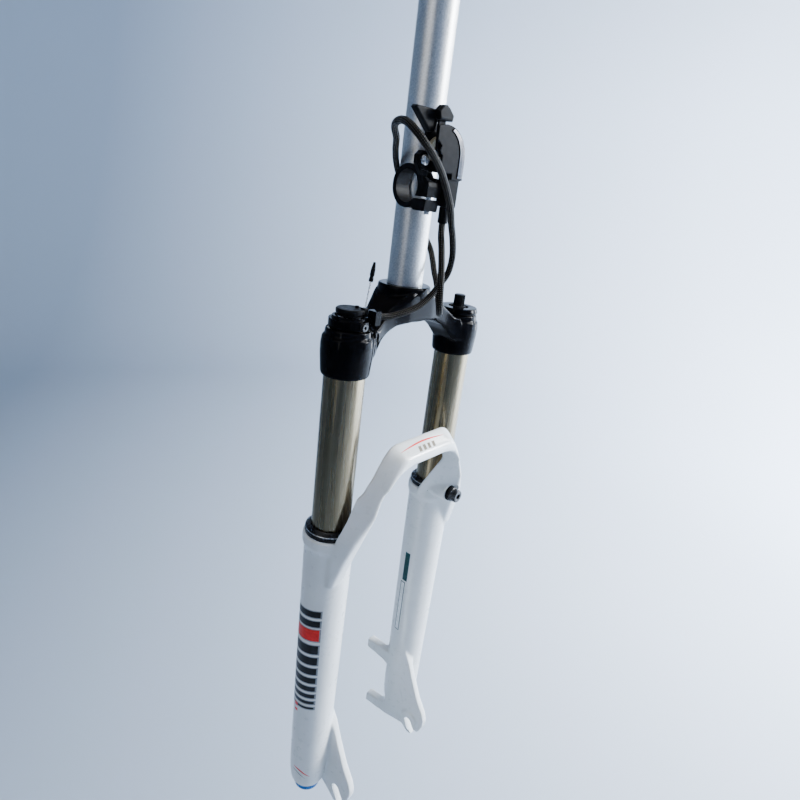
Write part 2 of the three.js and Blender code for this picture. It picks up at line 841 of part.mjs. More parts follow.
const clamp = { outer: 15, halfLength: 6.75, bore: barRadius + 0.15, slotTop: -6, slotBottom: -7.6 };
const clampBoltPlace = { u: 16.8, headTop: 3.4, headBottom: 0.4, end: -17.6 };
const mountScrew = { v: -9.6, w: 17.5, radius: 2 };
const pivot = { v: -3, w: 25, radius: 2.5 };

// Layers from the back of the lever to its cover, as [from, to] along u.
const layer = {
  arm: [12.5, 16.2],
  backPlate: [16.5, 18],
  mainLever: [18.3, 20.8],
  drum: [21.1, 24.1],
  releaseLever: [24.4, 26.3],
  cover: [26.9, 28.6],
};

function onPivot(geometry) {
  return geometry.translate(0, pivot.v, pivot.w);
}

function layerPlate(shape, [from, to]) {
  return plateYZ(shape, from, to);
}

// Ring, pinch lug below it and the arm that the lever housing is screwed to.
function barClamp() {
  const ring = tubeAlong('y', clamp.outer, clamp.bore, -clamp.halfLength, clamp.halfLength, 32);
  const lug = plateXZ(
    shapeOf([[8, 8], [6, -13], [9, -15.5], [20, -15.5], [21, -8], [22, 1], [21.5, 4], [17, 6.8]]),
    -clamp.halfLength, clamp.halfLength,
  );
  const arm = layerPlate(shapeOf([
    [-6.75, 2], [5, 2], [2.5, 9.5], [-4, 12], [-4.5, 20], [-7, 23.4], [-11, 23.6], [-14.6, 20.5], [-14.8, 15.5],
    [-11.5, 11], [-8, 7.5],
  ]), layer.arm);
  const { u } = clampBoltPlace;
  return toGeometry(cut(
    join(ring, lug, arm),
    rodAlong('y', clamp.bore, -20, 20, 32),
    box(clamp.bore - 3, 40, -20, 20, clamp.slotBottom, clamp.slotTop),
    rod(2 + gap, -25, clampBoltPlace.headBottom, 12).translate(u, 0, 0),
    rod(3.4 + gap, clampBoltPlace.headBottom - gap, 12, 16).translate(u, 0, 0),
    rodAlong('x', mountScrew.radius + gap, 10, 20, 12).translate(0, mountScrew.v, mountScrew.w),
  ));
}

function clampBolt() {
  const { u, headTop, headBottom, end } = clampBoltPlace;
  const head = rod(3.4, headBottom, headTop, 16);
  const shank = rod(2, end, headBottom + 0.5, 12);
  const socket = rod(1.7, headTop - 1.6, headTop + 2, 6);
  return toGeometry(cut(join(head, shank), socket)).translate(u, 0, 0);
}

// D-shaped outline: straight towards the clamp and rounded away from it. The part above the sill
// on the clamp's side is left open for the two levers.
const dShape = { left: -4, right: 19.4, bottom: 6.9, centre: [-2, 20], radius: 21.4, wall: 1.6 };
const lugSide = { v: 7.4, w: 10.6 };
const sill = { v: 5, w: 29 };

function housingOutline(inset = 0) {
  const { left, right, bottom, centre, radius } = dShape;
  const outline = new THREE.Shape();
  outline.moveTo(left + inset, lugSide.w + inset);
  outline.lineTo(lugSide.v + inset, lugSide.w + inset);
  outline.lineTo(lugSide.v + inset, bottom + inset);
  outline.lineTo(right - inset, bottom + inset);
  outline.absarc(centre[0], centre[1], radius - inset, 0, Math.PI / 2, false);
  outline.lineTo(left - 6.5 + inset, 39.5 - inset);
  outline.lineTo(left - 6.5 + inset, sill.w + 2);
  outline.lineTo(left + inset, sill.w - 3);
  return outline;
}

const cableExit = { u: 21.5, v: 12.6, bottom: -11.2 };

function leverHousing() {
  const depth = [layer.backPlate[0], layer.cover[0] - gap];
  const hollow = plateYZ(housingOutline(dShape.wall), layer.backPlate[1], 40);
  const mouth = box(layer.backPlate[1], 40, -40, sill.v, sill.w, 80);
  const foot = layerPlate(shapeOf([[7.4, 7.2], [18.4, 7.2], [18.4, -11.2], [8, -11.2]]), depth);
  const exit = [cableExit.u, cableExit.v, 0];
  const shell = toManifold(layerPlate(housingOutline(), depth)).subtract(toManifold(hollow));
  return toGeometry(cut(
    shell.add(toManifold(foot)).add(toManifold(mountingLug())),
    mouth,
    box(layer.backPlate[1], 40, -40, dShape.left + 2, 16.4, 80),
    rod(ferruleRadius + gap, -30, 2, 16).translate(...exit),
    rod(1.2, 1, 14, 10).translate(...exit),
    onPivot(rodAlong('x', pivot.radius + gap, 0, 40, 16)),
    rodAlong('x', mountScrew.radius + gap, 10, 20, 12).translate(0, mountScrew.v, mountScrew.w),
  ));
}

// Lug on the housing's back that the mounting screw clamps to the arm.
function mountingLug() {
  const shape = shapeOf([
    [-2, 11], [-2, 26], [-7, 23.6], [-11.5, 23.4], [-14.4, 20], [-14.4, 15.5], [-11, 11.5], [-6, 11],
  ]);
  return layerPlate(shape, layer.backPlate);
}

// Crescent between the cover's edge and a smaller arc set off towards the clamp.
function stripOutline(clearance = 0) {
  const outer = { centre: dShape.centre, radius: dShape.radius - 1.5 + clearance, end: 1.25 };
  const inner = { centre: [-4.5, 21.5], radius: 17.6 - clearance, end: 1.15 };
  const bottom = dShape.bottom + 1.5 - clearance;
  const outline = new THREE.Shape();
  outline.moveTo(inner.centre[0] + inner.radius, bottom);
  outline.lineTo(outer.centre[0] + outer.radius, bottom);
  outline.absarc(...outer.centre, outer.radius, 0, outer.end + clearance / 12, false);
  outline.absarc(...inner.centre, inner.radius, inner.end + clearance / 12, 0, true);
  return outline;
}

const stripSeat = layer.cover[1] - 0.8;

function leverCover() {
  const plate = layerPlate(housingOutline(0.4), layer.cover);
  return toGeometry(cut(
    toManifold(plate),
    onPivot(rodAlong('x', pivot.radius + gap, 0, 40, 16)),
    plateYZ(stripOutline(gap), stripSeat, 40),
  ));
}

// Bright strip let into the cover along its rounded edge.
function coverStrip() {
  return plateYZ(stripOutline(), stripSeat + gap, layer.cover[1] + 0.6);
}

function crossScrew() {
  const from = layer.backPlate[1] + gap;
  const head = lathe([
    [0, from], [3.7, from], [3.4, from + 1.4], [2, from + 2.2], [0, from + 2.2],
  ], 16).rotateY(Math.PI / 2);
  const shank = rodAlong('x', mountScrew.radius, 11.5, from + 0.5, 12);
  const slots = [
    box(from + 1.1, 32, -2.2, 2.2, -0.4, 0.4),
    box(from + 1.1, 32, -0.4, 0.4, -2.2, 2.2),
  ];
  return toGeometry(cut(join(shank, head), ...slots)).translate(0, mountScrew.v, mountScrew.w);
}

function pivotBolt() {
  const shank = rodAlong('x', pivot.radius, 15, layer.cover[1] - 0.4, 16);
  const head = rodAlong('x', 3.6, 14, layer.backPlate[0] - gap, 16);
  return onPivot(toGeometry(join(head, shank)));
}

function armBore() {
  return onPivot(rodAlong('x', pivot.radius + gap, 10, 40, 16));
}

// Thumb paddle: pushed down to wind the cable in.
function mainLever() {
  const arm = layerPlate(shapeOf([
    [4, 22], [-1, 19], [-5, 20], [-8, 23], [-12, 27], [-13.6, 35], [-8, 37.5], [-4, 36], [4, 28],
  ]), layer.mainLever);
  const paddle = plateYZ(shapeOf([
    [-14, 34.6], [-28.8, 47.4], [-27.4, 49], [-9.8, 48.8], [-6.6, 44], [-9, 35.6],
  ]), layer.mainLever[0], layer.drum[1], 0.8);
  return toGeometry(cut(join(arm, paddle), armBore()));
}

// Button beside the paddle: pushed aside to let the cable out.
function releaseLever() {
  const arm = layerPlate(shapeOf([[3, 20], [-7, 21], [-9, 43.5], [-3, 44], [3, 28]]), layer.releaseLever);
  const button = plateYZ(shapeOf([
    [-11.5, 42.6], [-13.5, 47.6], [-9.5, 51.6], [-5.8, 51.9], [-3, 50.4], [1.4, 46.4], [0.8, 42.6],
  ]), layer.releaseLever[0], layer.cover[1] + 1.5, 0.8);
  return toGeometry(cut(join(arm, button), armBore()));
}

// Grooved drum that takes up the cable inside the housing.
function cableDrum() {
  const [from, to] = layer.drum;
  const bore = pivot.radius + gap;
  return onPivot(lathe([
    [bore, from], [8, from], [8, from + 0.6], [7, from + 1.2], [7, to - 1.2], [8, to - 0.6], [8, to], [bore, to],
  ], 20).rotateY(Math.PI / 2));
}

// Threaded barrel at the lever's foot: turned to set the cable's tension.
function barrelAdjuster() {
  const shoulder = cableExit.bottom - gap;
  return lathe([
    [cableRadius + gap, shoulder - 11], [3.4, shoulder - 11], [3.7, shoulder - 10.4], [3.7, shoulder],
    [ferruleRadius, shoulder], [ferruleRadius, 1], [1, 1], [1, shoulder - 3], [cableRadius + gap, shoulder - 3],
  ], 16).translate(cableExit.u, cableExit.v, 0);
}

add(lever, 'bar_clamp', barClamp(), blackPlastic);
add(lever, 'bar_clamp_bolt', clampBolt(), steel);
add(lever, 'lever_housing', leverHousing(), blackPlastic);
add(lever, 'lever_cover', leverCover(), blackPlastic);
add(lever, 'lever_cover_strip', coverStrip(), silver);
add(lever, 'lever_mounting_screw', crossScrew(), steel);
add(lever, 'lever_pivot_bolt', pivotBolt(), steel);
add(lever, 'main_lever', mainLever(), blackPlastic);
add(lever, 'release_lever', releaseLever(), blackPlastic);
add(lever, 'cable_drum', cableDrum(), polymer);
add(lever, 'barrel_adjuster', barrelAdjuster(), blackPlastic);

// ---------------------------------------------------------------- cable housing

// From the stop on the right leg, up across the lever, over and round behind the steerer, down in
// front of the crown and up again into the lever's foot.
const cableRoute = [
  [21.5, -58.2, -17.2], [21.5, -55, -17.2], [21.6, -52, -17.2], [24, -43, -17.6],
  [29, -30.6, -14.2], [32.5, -19.8, -9.5], [35, -10.8, -2.1], [38, -5.5, 6.4], [42, -2.5, 15.8],
  [45.6, -4.8, 28.4], [48.6, -11.9, 41.8], [52.6, -21.9, 52.8], [56.4, -31.1, 63.8],
  [59.2, -39.8, 71.7], [61.8, -50.3, 81], [64, -60, 88.1], [65.3, -69.6, 94.1],
  [64.3, -77.1, 99.7], [61.1, -80.7, 104.3], [54.7, -80.9, 108.7], [44.5, -75.8, 111.4],
  [33, -68.2, 111.3], [21.4, -56.8, 109.2], [10.5, -41.4, 104], [-3.3, -25, 97.2],
  [-14.9, -8.9, 88.4], [-20.5, 4.5, 77], [-20.5, 16, 63], [-16.5, 25, 49.5], [-9, 29, 37],
  [2, 25, 28], [11, 18.5, 20], [17.4, 13.8, 12.4], [25, 8.6, 5], [32.7, 2.6, -4],
  [41.2, -6.2, -10.1], [49.5, -16.7, -11.6], [55.4, -25.2, -7.3], [57.9, -30.1, 1.7],
  [56.2, -29.3, 12.1], [52, -25.7, 24], [46.8, -21.4, 35.5], [42.2, -17.6, 43.3],
  [39.5, -14.7, 50], [39.5, -14.7, 58.5],
].map(([x, y, z]) => new THREE.Vector3(x, y, z));

function cableHousing() {
  const section = new THREE.Shape().absarc(0, 0, cableRadius, 0, 2 * Math.PI);
  return new THREE.ExtrudeGeometry(section, {
    steps: 64,
    curveSegments: 4,
    extrudePath: new THREE.CatmullRomCurve3(cableRoute, false, 'centripetal'),
    bevelEnabled: false,
  });
}

function stopFerrule() {
  const bore = cableRadius + gap;
  return lathe([
    [bore, 10.5], [ferruleRadius, 10.5], [ferruleRadius, 16.4], [bore + 0.2, 16.4], [bore, 14.5],
  ], 20).rotateX(-Math.PI / 2).translate(cableStop.x, 0, cableStop.z);
}

add(rightLeg, 'cable_stop_ferrule', stopFerrule(), blackPlastic);
add(fork, 'cable_housing', cableHousing(), braid);

export default fork;
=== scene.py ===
# Looks of the suspension fork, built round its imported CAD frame.
#
# Shapes are worked out in millimetres, in the frame that the CAD uses (+X forward, +Y to the
# rider's left, +Z up, origin on the steerer axis at the crown race seat), and turned into metres
# when a piece is placed. The camera, lights, floor and materials are in metres throughout.

import json
import math

import bmesh
import bpy
from mathutils import Matrix, Vector
from mathutils.bvhtree import BVHTree


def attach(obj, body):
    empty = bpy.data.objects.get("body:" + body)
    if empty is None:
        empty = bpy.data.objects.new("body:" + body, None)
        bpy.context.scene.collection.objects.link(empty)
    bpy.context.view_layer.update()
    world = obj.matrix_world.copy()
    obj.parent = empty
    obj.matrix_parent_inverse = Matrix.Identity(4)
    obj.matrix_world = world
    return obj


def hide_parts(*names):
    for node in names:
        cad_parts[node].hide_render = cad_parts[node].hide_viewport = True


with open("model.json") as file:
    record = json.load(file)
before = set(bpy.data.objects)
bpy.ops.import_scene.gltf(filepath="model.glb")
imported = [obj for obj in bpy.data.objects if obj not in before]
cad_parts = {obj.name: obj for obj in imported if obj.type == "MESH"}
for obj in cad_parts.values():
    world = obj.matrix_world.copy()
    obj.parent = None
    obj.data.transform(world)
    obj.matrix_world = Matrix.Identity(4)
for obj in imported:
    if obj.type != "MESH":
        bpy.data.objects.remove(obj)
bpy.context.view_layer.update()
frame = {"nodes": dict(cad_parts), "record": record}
nodes = frame["nodes"]
scene = bpy.context.scene

MM = 0.001

# ------------------------------------------------------------------ driving dimensions, mm

LEG_X = 9.0
LEG_Y = 69.0
SIDES = {"right": -1, "left": 1}
CROWN_DROP = 62.4
SLEEVE_TOP = -27.0
COLLAR_TOP = -198.0
LEG_BOTTOM = -480.0
LEG_CAVITY_BOTTOM = -464.0
STANCHION_RADIUS = 16.0
STEERER_RADIUS = 14.3
GAP = 0.3
AXLE = (39.0, -479.0)
SLOT_RADIUS = 4.75
SLOT_TILT = math.radians(33.5)
LEVER_ORIGIN = (16.6, -24.5, 74.3)
LEVER_TURN = math.radians(-7.2)
CABLE_RADIUS = 2.5
CABLE_STOP = Vector((LEG_X + 12.5, 0, -17.2))
BRAID_STRANDS = 6

# ------------------------------------------------------------------ camera, lights and floor

CAMERA_PLACE = Vector((0.303845, -0.377929, 0.077942))
CAMERA_TURNS = {"azimuth": 37.816, "elevation": 20.112, "roll": 7.342}
CAMERA_LENS = 26.955
MIDDLE = Vector((0.02, 0, -0.15))


def make_camera():
    """Looks down and across the fork. Returns the level direction to its right and the one behind it."""
    azimuth, elevation, roll = (math.radians(turn) for turn in CAMERA_TURNS.values())
    back = Vector((
        math.sin(azimuth) * math.cos(elevation),
        -math.cos(azimuth) * math.cos(elevation),
        math.sin(elevation),
    ))
    level = Vector((math.cos(azimuth), math.sin(azimuth), 0))
    upward = back.cross(level)
    right = math.cos(roll) * level + math.sin(roll) * upward
    top = math.cos(roll) * upward - math.sin(roll) * level
    data = bpy.data.cameras.new("camera")
    data.sensor_width = 36
    data.lens = CAMERA_LENS
    data.clip_start = 0.01
    data.clip_end = 50
    camera = bpy.data.objects.new("camera", data)
    rotation = Matrix((right, top, back)).transposed()
    camera.matrix_world = Matrix.Translation(CAMERA_PLACE) @ rotation.to_4x4()
    scene.collection.objects.link(camera)
    scene.camera = camera
    return level, back


def area_light(name, place, size, power, color=(1, 1, 1), target=MIDDLE):
    """A rectangular light at a place, turned towards the target."""
    data = bpy.data.lights.new(name, "AREA")
    data.shape = "RECTANGLE"
    data.size, data.size_y = size
    data.energy = power
    data.color = color
    light = bpy.data.objects.new(name, data)
    light.location = place
    light.rotation_euler = (target - place).to_track_quat("-Z", "Y").to_euler()
    scene.collection.objects.link(light)


def make_lights(level, back):
    """A soft key from the right, a weak fill from the left, and narrow lights for the streaks on metal."""
    high = Vector((0, 0, 1))
    key = MIDDLE + 1.5 * level - 0.25 * back + 1.1 * high
    area_light("key", key, (0.7, 1.5), 62, (0.97, 0.985, 1.0))
    area_light("fill", MIDDLE - 1.1 * level + 1.3 * back + 0.5 * high, (0.9, 1.2), 4)
    top = MIDDLE - 0.3 * level + 0.2 * back + 1.9 * high
    area_light("top", top, (1.4, 1.4), 11, (0.95, 0.97, 1.0))
    area_light("tube streak", MIDDLE - 0.75 * level + 1.4 * back, (0.12, 1.5), 2.5)
    area_light("edge streak", MIDDLE + 1.0 * level - 0.9 * back + 0.7 * high, (0.07, 1.2), 12)
    wall = MIDDLE + 2.3 * level - 3.4 * back - 0.5 * high
    wash = MIDDLE + 2.7 * level - 0.7 * back + 1.4 * high
    area_light("wash", wash, (1.2, 1.2), 500, (0.88, 0.94, 1.0), wall)


def make_stage():
    """A pale studio bowl: a flat floor that curves up into a wall on all sides."""
    floor_radius, bend, height, floor_z = 2.6, 1.6, 3.4, -0.95
    steps, segments = 16, 96
    profile = [(0, floor_z), (floor_radius, floor_z)]
    for i in range(1, steps + 1):
        angle = math.pi / 2 * i / steps
        profile.append((floor_radius + bend * math.sin(angle), floor_z + bend * (1 - math.cos(angle))))
    profile.append((floor_radius + bend, floor_z + bend + height))
    bm = bmesh.new()
    rings = []
    for radius, z in profile:
        if radius == 0:
            rings.append([bm.verts.new((0, 0, z))] * segments)
            continue
        turn = 2 * math.pi / segments
        rings.append([bm.verts.new((radius * math.cos(turn * k), radius * math.sin(turn * k), z))
                      for k in range(segments)])
    for lower, upper in zip(rings, rings[1:]):
        for k in range(segments):
            corners = [lower[k], lower[(k + 1) % segments], upper[(k + 1) % segments], upper[k]]
            bm.faces.new(list(dict.fromkeys(corners)))
    bmesh.ops.recalc_face_normals(bm, faces=bm.faces)
    mesh = bpy.data.meshes.new("floor")
    bm.to_mesh(mesh)
    bm.free()
    mesh.shade_smooth()
    floor = bpy.data.objects.new("floor", mesh)
    scene.collection.objects.link(floor)
    return floor


camera_level, camera_back = make_camera()
make_lights(camera_level, camera_back)
floor = make_stage()

world = bpy.data.worlds.new("studio")
world.use_nodes = True
background = world.node_tree.nodes["Background"]
background.inputs["Color"].default_value = (0.78, 0.81, 0.87, 1)
background.inputs["Strength"].default_value = 0.17
scene.world = world

# ------------------------------------------------------------------ materials


class Material:
    """A node material whose textures are sized in metres."""

    def __init__(self, name, metallic=0.0, coat=0.0, coat_roughness=0.03, specular=0.5):
        self.material = bpy.data.materials.new(name)
        self.material.use_nodes = True
        self.tree = self.material.node_tree
        self.shader = self.tree.nodes["Principled BSDF"]
        self.shader.inputs["Metallic"].default_value = metallic
        self.shader.inputs["Coat Weight"].default_value = coat
        self.shader.inputs["Coat Roughness"].default_value = coat_roughness
        self.shader.inputs["Specular IOR Level"].default_value = specular
        self.bump_chain = None

    def node(self, kind, **values):
        node = self.tree.nodes.new(kind)
        for key, value in values.items():
            setattr(node, key, value)
        return node

    def link(self, source, target):
        self.tree.links.new(source, target)

    def coordinates(self, scale=(1, 1, 1), source="Object"):
        texture = self.node("ShaderNodeTexCoord")
        mapping = self.node("ShaderNodeMapping")
        mapping.inputs["Scale"].default_value = scale
        self.link(texture.outputs[source], mapping.inputs["Vector"])
        return mapping.outputs["Vector"]

    def noise(self, size, stretch=(1, 1, 1), detail=3.0):
        """Noise whose features are about size metres across."""
        noise = self.node("ShaderNodeTexNoise")
        noise.inputs["Scale"].default_value = 1 / size
        noise.inputs["Detail"].default_value = detail
        self.link(self.coordinates(stretch), noise.inputs["Vector"])
        return noise.outputs["Fac"]

    def ramp(self, factor, stops):
        ramp = self.node("ShaderNodeValToRGB")
        elements = ramp.color_ramp.elements
        while len(elements) < len(stops):
            elements.new(0.5)
        for element, (position, color) in zip(elements, stops):
            element.position = position
            element.color = (*color, 1)
        self.link(factor, ramp.inputs["Fac"])
        return ramp.outputs["Color"]

    def color(self, dark, light, size, stretch=(1, 1, 1)):
        """Base colour that drifts between two tones."""
        mixed = self.ramp(self.noise(size, stretch), [(0.35, dark), (0.65, light)])
        self.link(mixed, self.shader.inputs["Base Color"])
        return self

    def roughness(self, low, high, size, stretch=(1, 1, 1)):
        """Roughness that drifts between two values."""
        span = self.node("ShaderNodeMapRange")
        span.inputs["From Min"].default_value = 0.3
        span.inputs["From Max"].default_value = 0.7
        span.inputs["To Min"].default_value = low
        span.inputs["To Max"].default_value = high
        self.link(self.noise(size, stretch), span.inputs["Value"])
        self.link(span.outputs["Result"], self.shader.inputs["Roughness"])
        return self

    def bump(self, height, strength, depth):
        """Bump from a height socket, depth in metres, on top of any earlier bump."""
        bump = self.node("ShaderNodeBump")
        bump.inputs["Strength"].default_value = strength
        bump.inputs["Distance"].default_value = depth
        self.link(height, bump.inputs["Height"])
        if self.bump_chain:
            self.link(self.bump_chain, bump.inputs["Normal"])
        self.bump_chain = bump.outputs["Normal"]
        self.link(self.bump_chain, self.shader.inputs["Normal"])
        return self


def white_paint():
    """Cool white enamel with a faint orange peel under a clear coat."""
    look = Material("white_paint", coat=0.5, coat_roughness=0.08)
    look.color((0.69, 0.708, 0.7), (0.73, 0.748, 0.74), 0.02)
    look.roughness(0.26, 0.34, 0.006)
    return look.bump(look.noise(0.0025, detail=1), 0.12, 0.00004).material


def black_paint():
    look = Material("black_paint", specular=0.045)
    look.color((0.0015, 0.0015, 0.002), (0.003, 0.003, 0.004), 0.015)
    look.roughness(0.03, 0.07, 0.008)
    return look.bump(look.noise(0.003, detail=1), 0.04, 0.00002).material


def blasted_aluminium():
    """Bead-blasted tube with faint drawing marks along it."""
    look = Material("blasted_aluminium", metallic=1.0)
    look.color((0.44, 0.44, 0.43), (0.6, 0.6, 0.59), 0.0012)
    look.roughness(0.32, 0.46, 0.0012)
    look.bump(look.noise(0.0008, detail=2), 0.45, 0.00016)
    return look.bump(look.noise(0.0016, (1, 1, 0.03), detail=2), 0.12, 0.00004).material


def bronze_anodising():
    """Ground and anodised tube: a warm grey-olive metal with fine grinding rings and wipe marks."""
    look = Material("bronze_anodising", metallic=1.0)
    look.color((0.19, 0.155, 0.095), (0.29, 0.24, 0.155), 0.004, (1, 1, 0.02))
    look.roughness(0.2, 0.34, 0.003, (1, 1, 0.03))
    return look.bump(look.noise(0.0006, (0.1, 0.1, 1), detail=2), 0.1, 0.00002).material


def rubber():
    look = Material("rubber", specular=0.3)
    look.color((0.003, 0.003, 0.0035), (0.007, 0.007, 0.008), 0.004)
    look.roughness(0.22, 0.36, 0.003)
    return look.bump(look.noise(0.0007, detail=3), 0.2, 0.00004).material


def moulded_plastic():
    """Fine spark-eroded texture of a moulded part."""
    look = Material("black_plastic", specular=0.05)
    look.color((0.003, 0.003, 0.0035), (0.007, 0.007, 0.008), 0.005)
    look.roughness(0.3, 0.48, 0.004)
    return look.bump(look.noise(0.0005, detail=4), 0.3, 0.00004).material


def steel():
    look = Material("steel", metallic=1.0)
    look.color((0.42, 0.43, 0.44), (0.6, 0.605, 0.61), 0.002)
    look.roughness(0.2, 0.36, 0.001)
    return look.bump(look.noise(0.0006, (1, 1, 0.2)), 0.15, 0.00003).material


def blackened_steel():
    look = Material("blackened_steel", metallic=0.3, specular=0.3)
    look.color((0.012, 0.012, 0.013), (0.035, 0.035, 0.036), 0.002)
    look.roughness(0.22, 0.4, 0.001)
    return look.bump(look.noise(0.0006), 0.15, 0.00003).material


def polished_aluminium():
    look = Material("polished_aluminium", metallic=1.0)
    # Painted shade: the base colour is far darker than polished aluminium, standing in for the dark
    # surroundings the strip mirrors.
    look.color((0.12, 0.12, 0.125), (0.17, 0.17, 0.175), 0.004, (1, 1, 0.1))
    look.roughness(0.08, 0.18, 0.001, (1, 1, 0.1))
    return look.bump(look.noise(0.0005, (1, 1, 0.05)), 0.12, 0.00002).material


def polymer():
    look = Material("bearing_polymer")
    look.color((0.36, 0.31, 0.2), (0.46, 0.4, 0.28), 0.003)
    look.roughness(0.4, 0.6, 0.002)
    return look.bump(look.noise(0.0008), 0.2, 0.00005).material


def open_foam():
    look = Material("open_foam")
    look.color((0.05, 0.05, 0.05), (0.16, 0.16, 0.16), 0.0009)
    look.roughness(0.8, 0.95, 0.002)
    return look.bump(look.noise(0.0009, detail=5), 0.8, 0.0004).material


def blue_anodising():
    look = Material("blue_anodising", metallic=0.9)
    look.color((0.015, 0.11, 0.32), (0.03, 0.17, 0.42), 0.004)
    look.roughness(0.2, 0.32, 0.002)
    return look.bump(look.noise(0.0006), 0.12, 0.00003).material


def braid():
    """Woven polyester sleeve: two crossing sets of strands, with a painted highlight: a pale colour on the
    crest of every crossing.
    """
    look = Material("braid", specular=0.03)
    split = look.node("ShaderNodeSeparateXYZ")
    look.link(look.coordinates(source="UV"), split.inputs["Vector"])
    waves = []
    for turn in (1, -1):
        lean = look.node("ShaderNodeMath", operation="MULTIPLY_ADD")
        lean.inputs[1].default_value = turn
        look.link(split.outputs["Y"], lean.inputs[0])
        look.link(split.outputs["X"], lean.inputs[2])
        angle = look.node("ShaderNodeMath", operation="MULTIPLY")
        angle.inputs[1].default_value = 2 * math.pi * BRAID_STRANDS
        look.link(lean.outputs[0], angle.inputs[0])
        wave = look.node("ShaderNodeMath", operation="SINE")
        look.link(angle.outputs[0], wave.inputs[0])
        waves.append(wave.outputs[0])
    weave = look.node("ShaderNodeMath", operation="MULTIPLY")
    look.link(waves[0], weave.inputs[0])
    look.link(waves[1], weave.inputs[1])
    tone = look.node("ShaderNodeMapRange")
    tone.inputs["From Min"].default_value = -1
    look.link(weave.outputs[0], tone.inputs["Value"])
    # Painted highlight: the pale stop at the top of the ramp falls on the raised crest of each crossing,
    # where the strands would catch light.
    color = look.ramp(tone.outputs["Result"], [
        (0.0, (0.008, 0.007, 0.006)), (0.5, (0.002, 0.002, 0.002)), (0.84, (0.006, 0.005, 0.005)),
        (0.97, (0.24, 0.22, 0.19)),
    ])
    look.link(color, look.shader.inputs["Base Color"])
    look.roughness(0.35, 0.6, 0.002)
    look.bump(tone.outputs["Result"], 0.5, 0.0002)
    return look.bump(look.noise(0.0003), 0.3, 0.00005).material


def ink(name, color):
    """Printed film, slightly uneven in tone."""
    look = Material(name, specular=0.2)
    lighter = tuple(min(1, c * 1.25 + 0.004) for c in color)
    look.color(color, lighter, 0.003)
    look.roughness(0.3, 0.4, 0.002)
    return look.bump(look.noise(0.001), 0.08, 0.00002).material


LOOKS = {
    "satin_aluminium": blasted_aluminium(),
    "gloss_black_paint": black_paint(),
    "bronze_anodised": bronze_anodising(),
    "gloss_white_paint": white_paint(),
    "black_rubber": rubber(),
    "black_plastic": moulded_plastic(),
    "braided_housing": braid(),
    "steel": steel(),
    "polished_strip": polished_aluminium(),
    "bearing_polymer": polymer(),
    "oil_foam": open_foam(),
    "blue_anodised": blue_anodising(),
}


def floor_with_painted_light():
    """Backdrop paper with painted light: its colour pales towards the right of the view and away from the
    camera, standing in for the wash light falling off across it.
    """
    look = Material("floor_with_painted_light", specular=0.1)
    turned = look.node("ShaderNodeVectorMath", operation="DOT_PRODUCT")
    look.link(look.coordinates(), turned.inputs[0])
    turned.inputs[1].default_value = camera_level - 0.35 * camera_back
    span = look.node("ShaderNodeMapRange")
    span.inputs["From Min"].default_value = -0.9
    span.inputs["From Max"].default_value = 3.0
    look.link(turned.outputs["Value"], span.inputs["Value"])
    # Painted light: dark blue-grey on the left and near side, pale blue where the wash light falls on the
    # right and far side.
    painted_light_falloff = look.ramp(span.outputs["Result"], [(0, (0.19, 0.24, 0.31)), (1, (0.76, 0.84, 0.97))])
    look.link(painted_light_falloff, look.shader.inputs["Base Color"])
    look.roughness(0.85, 0.95, 0.3)
    return look.bump(look.noise(0.004), 0.05, 0.0002).material


floor.data.materials.append(floor_with_painted_light())

slot_of = {row["node"]: row["material_slot"] for row in frame["record"]["subparts"]}
body_of = {name: body for body, names in frame["record"]["behaviour"]["bodies"].items() for name in names}

BLACKENED = blackened_steel()
BLACK_SCREWS = ("lever_pivot_bolt", "housing_clamp_screw", "hose_guide_screw")


def look_of(name):
    return BLACKENED if name in BLACK_SCREWS else LOOKS[slot_of[name]]


for name, node in nodes.items():
    for material_slot in node.material_slots:
        material_slot.material = look_of(name)

# ------------------------------------------------------------------ outlines and solids, in mm


def smooth(points, steps):
    """A Catmull-Rom curve through the points, from the first to the last."""
    last = len(points) - 1
    curve = []
    for i in range(last):
        p0, p1, p2, p3 = (Vector(points[min(max(i + k - 1, 0), last)]) for k in range(4))
        for k in range(steps):
            t = k / steps
            curve.append(0.5 * (2 * p1 + (p2 - p0) * t + (2 * p0 - 5 * p1 + 4 * p2 - p3) * t ** 2
                                + (3 * p1 - p0 - 3 * p2 + p3) * t ** 3))
    curve.append(Vector(points[-1]))
    return [tuple(p) for p in curve]


def rounded(points, radius, closed=True):
    """The same outline with its corners rounded."""
    count, steps = len(points), 5
    result = []
    for i, corner in enumerate(points):
        corner = Vector(corner)
        if not closed and i in (0, count - 1):
            result.append(tuple(corner))
            continue
        before = Vector(points[i - 1]) - corner
        after = Vector(points[(i + 1) % count]) - corner
        reach = min(radius, 0.45 * before.length, 0.45 * after.length)
        start = corner + before.normalized() * reach
        end = corner + after.normalized() * reach
        for k in range(steps + 1):
            t = k / steps
            result.append(tuple((1 - t) ** 2 * start + 2 * t * (1 - t) * corner + t ** 2 * end))
    return result


def mirrored(half):
    """A half outline in (y, z) with its mirror image added."""
    return list(half) + [(-y, z) for y, z in reversed(half)]


def solid(vertices, faces):
    """An object made from points and the corners of each face."""
    bm = bmesh.new()
    made = [bm.verts.new(v) for v in vertices]
    for face in faces:
        bm.faces.new([made[i] for i in dict.fromkeys(face)])
    bmesh.ops.recalc_face_normals(bm, faces=bm.faces)
    return bm_object(bm)


def bm_object(bm, name="solid"):
    mesh = bpy.data.meshes.new(name)
    bm.to_mesh(mesh)
    bm.free()
    piece = bpy.data.objects.new(name, mesh)
    scene.collection.objects.link(piece)
    return piece


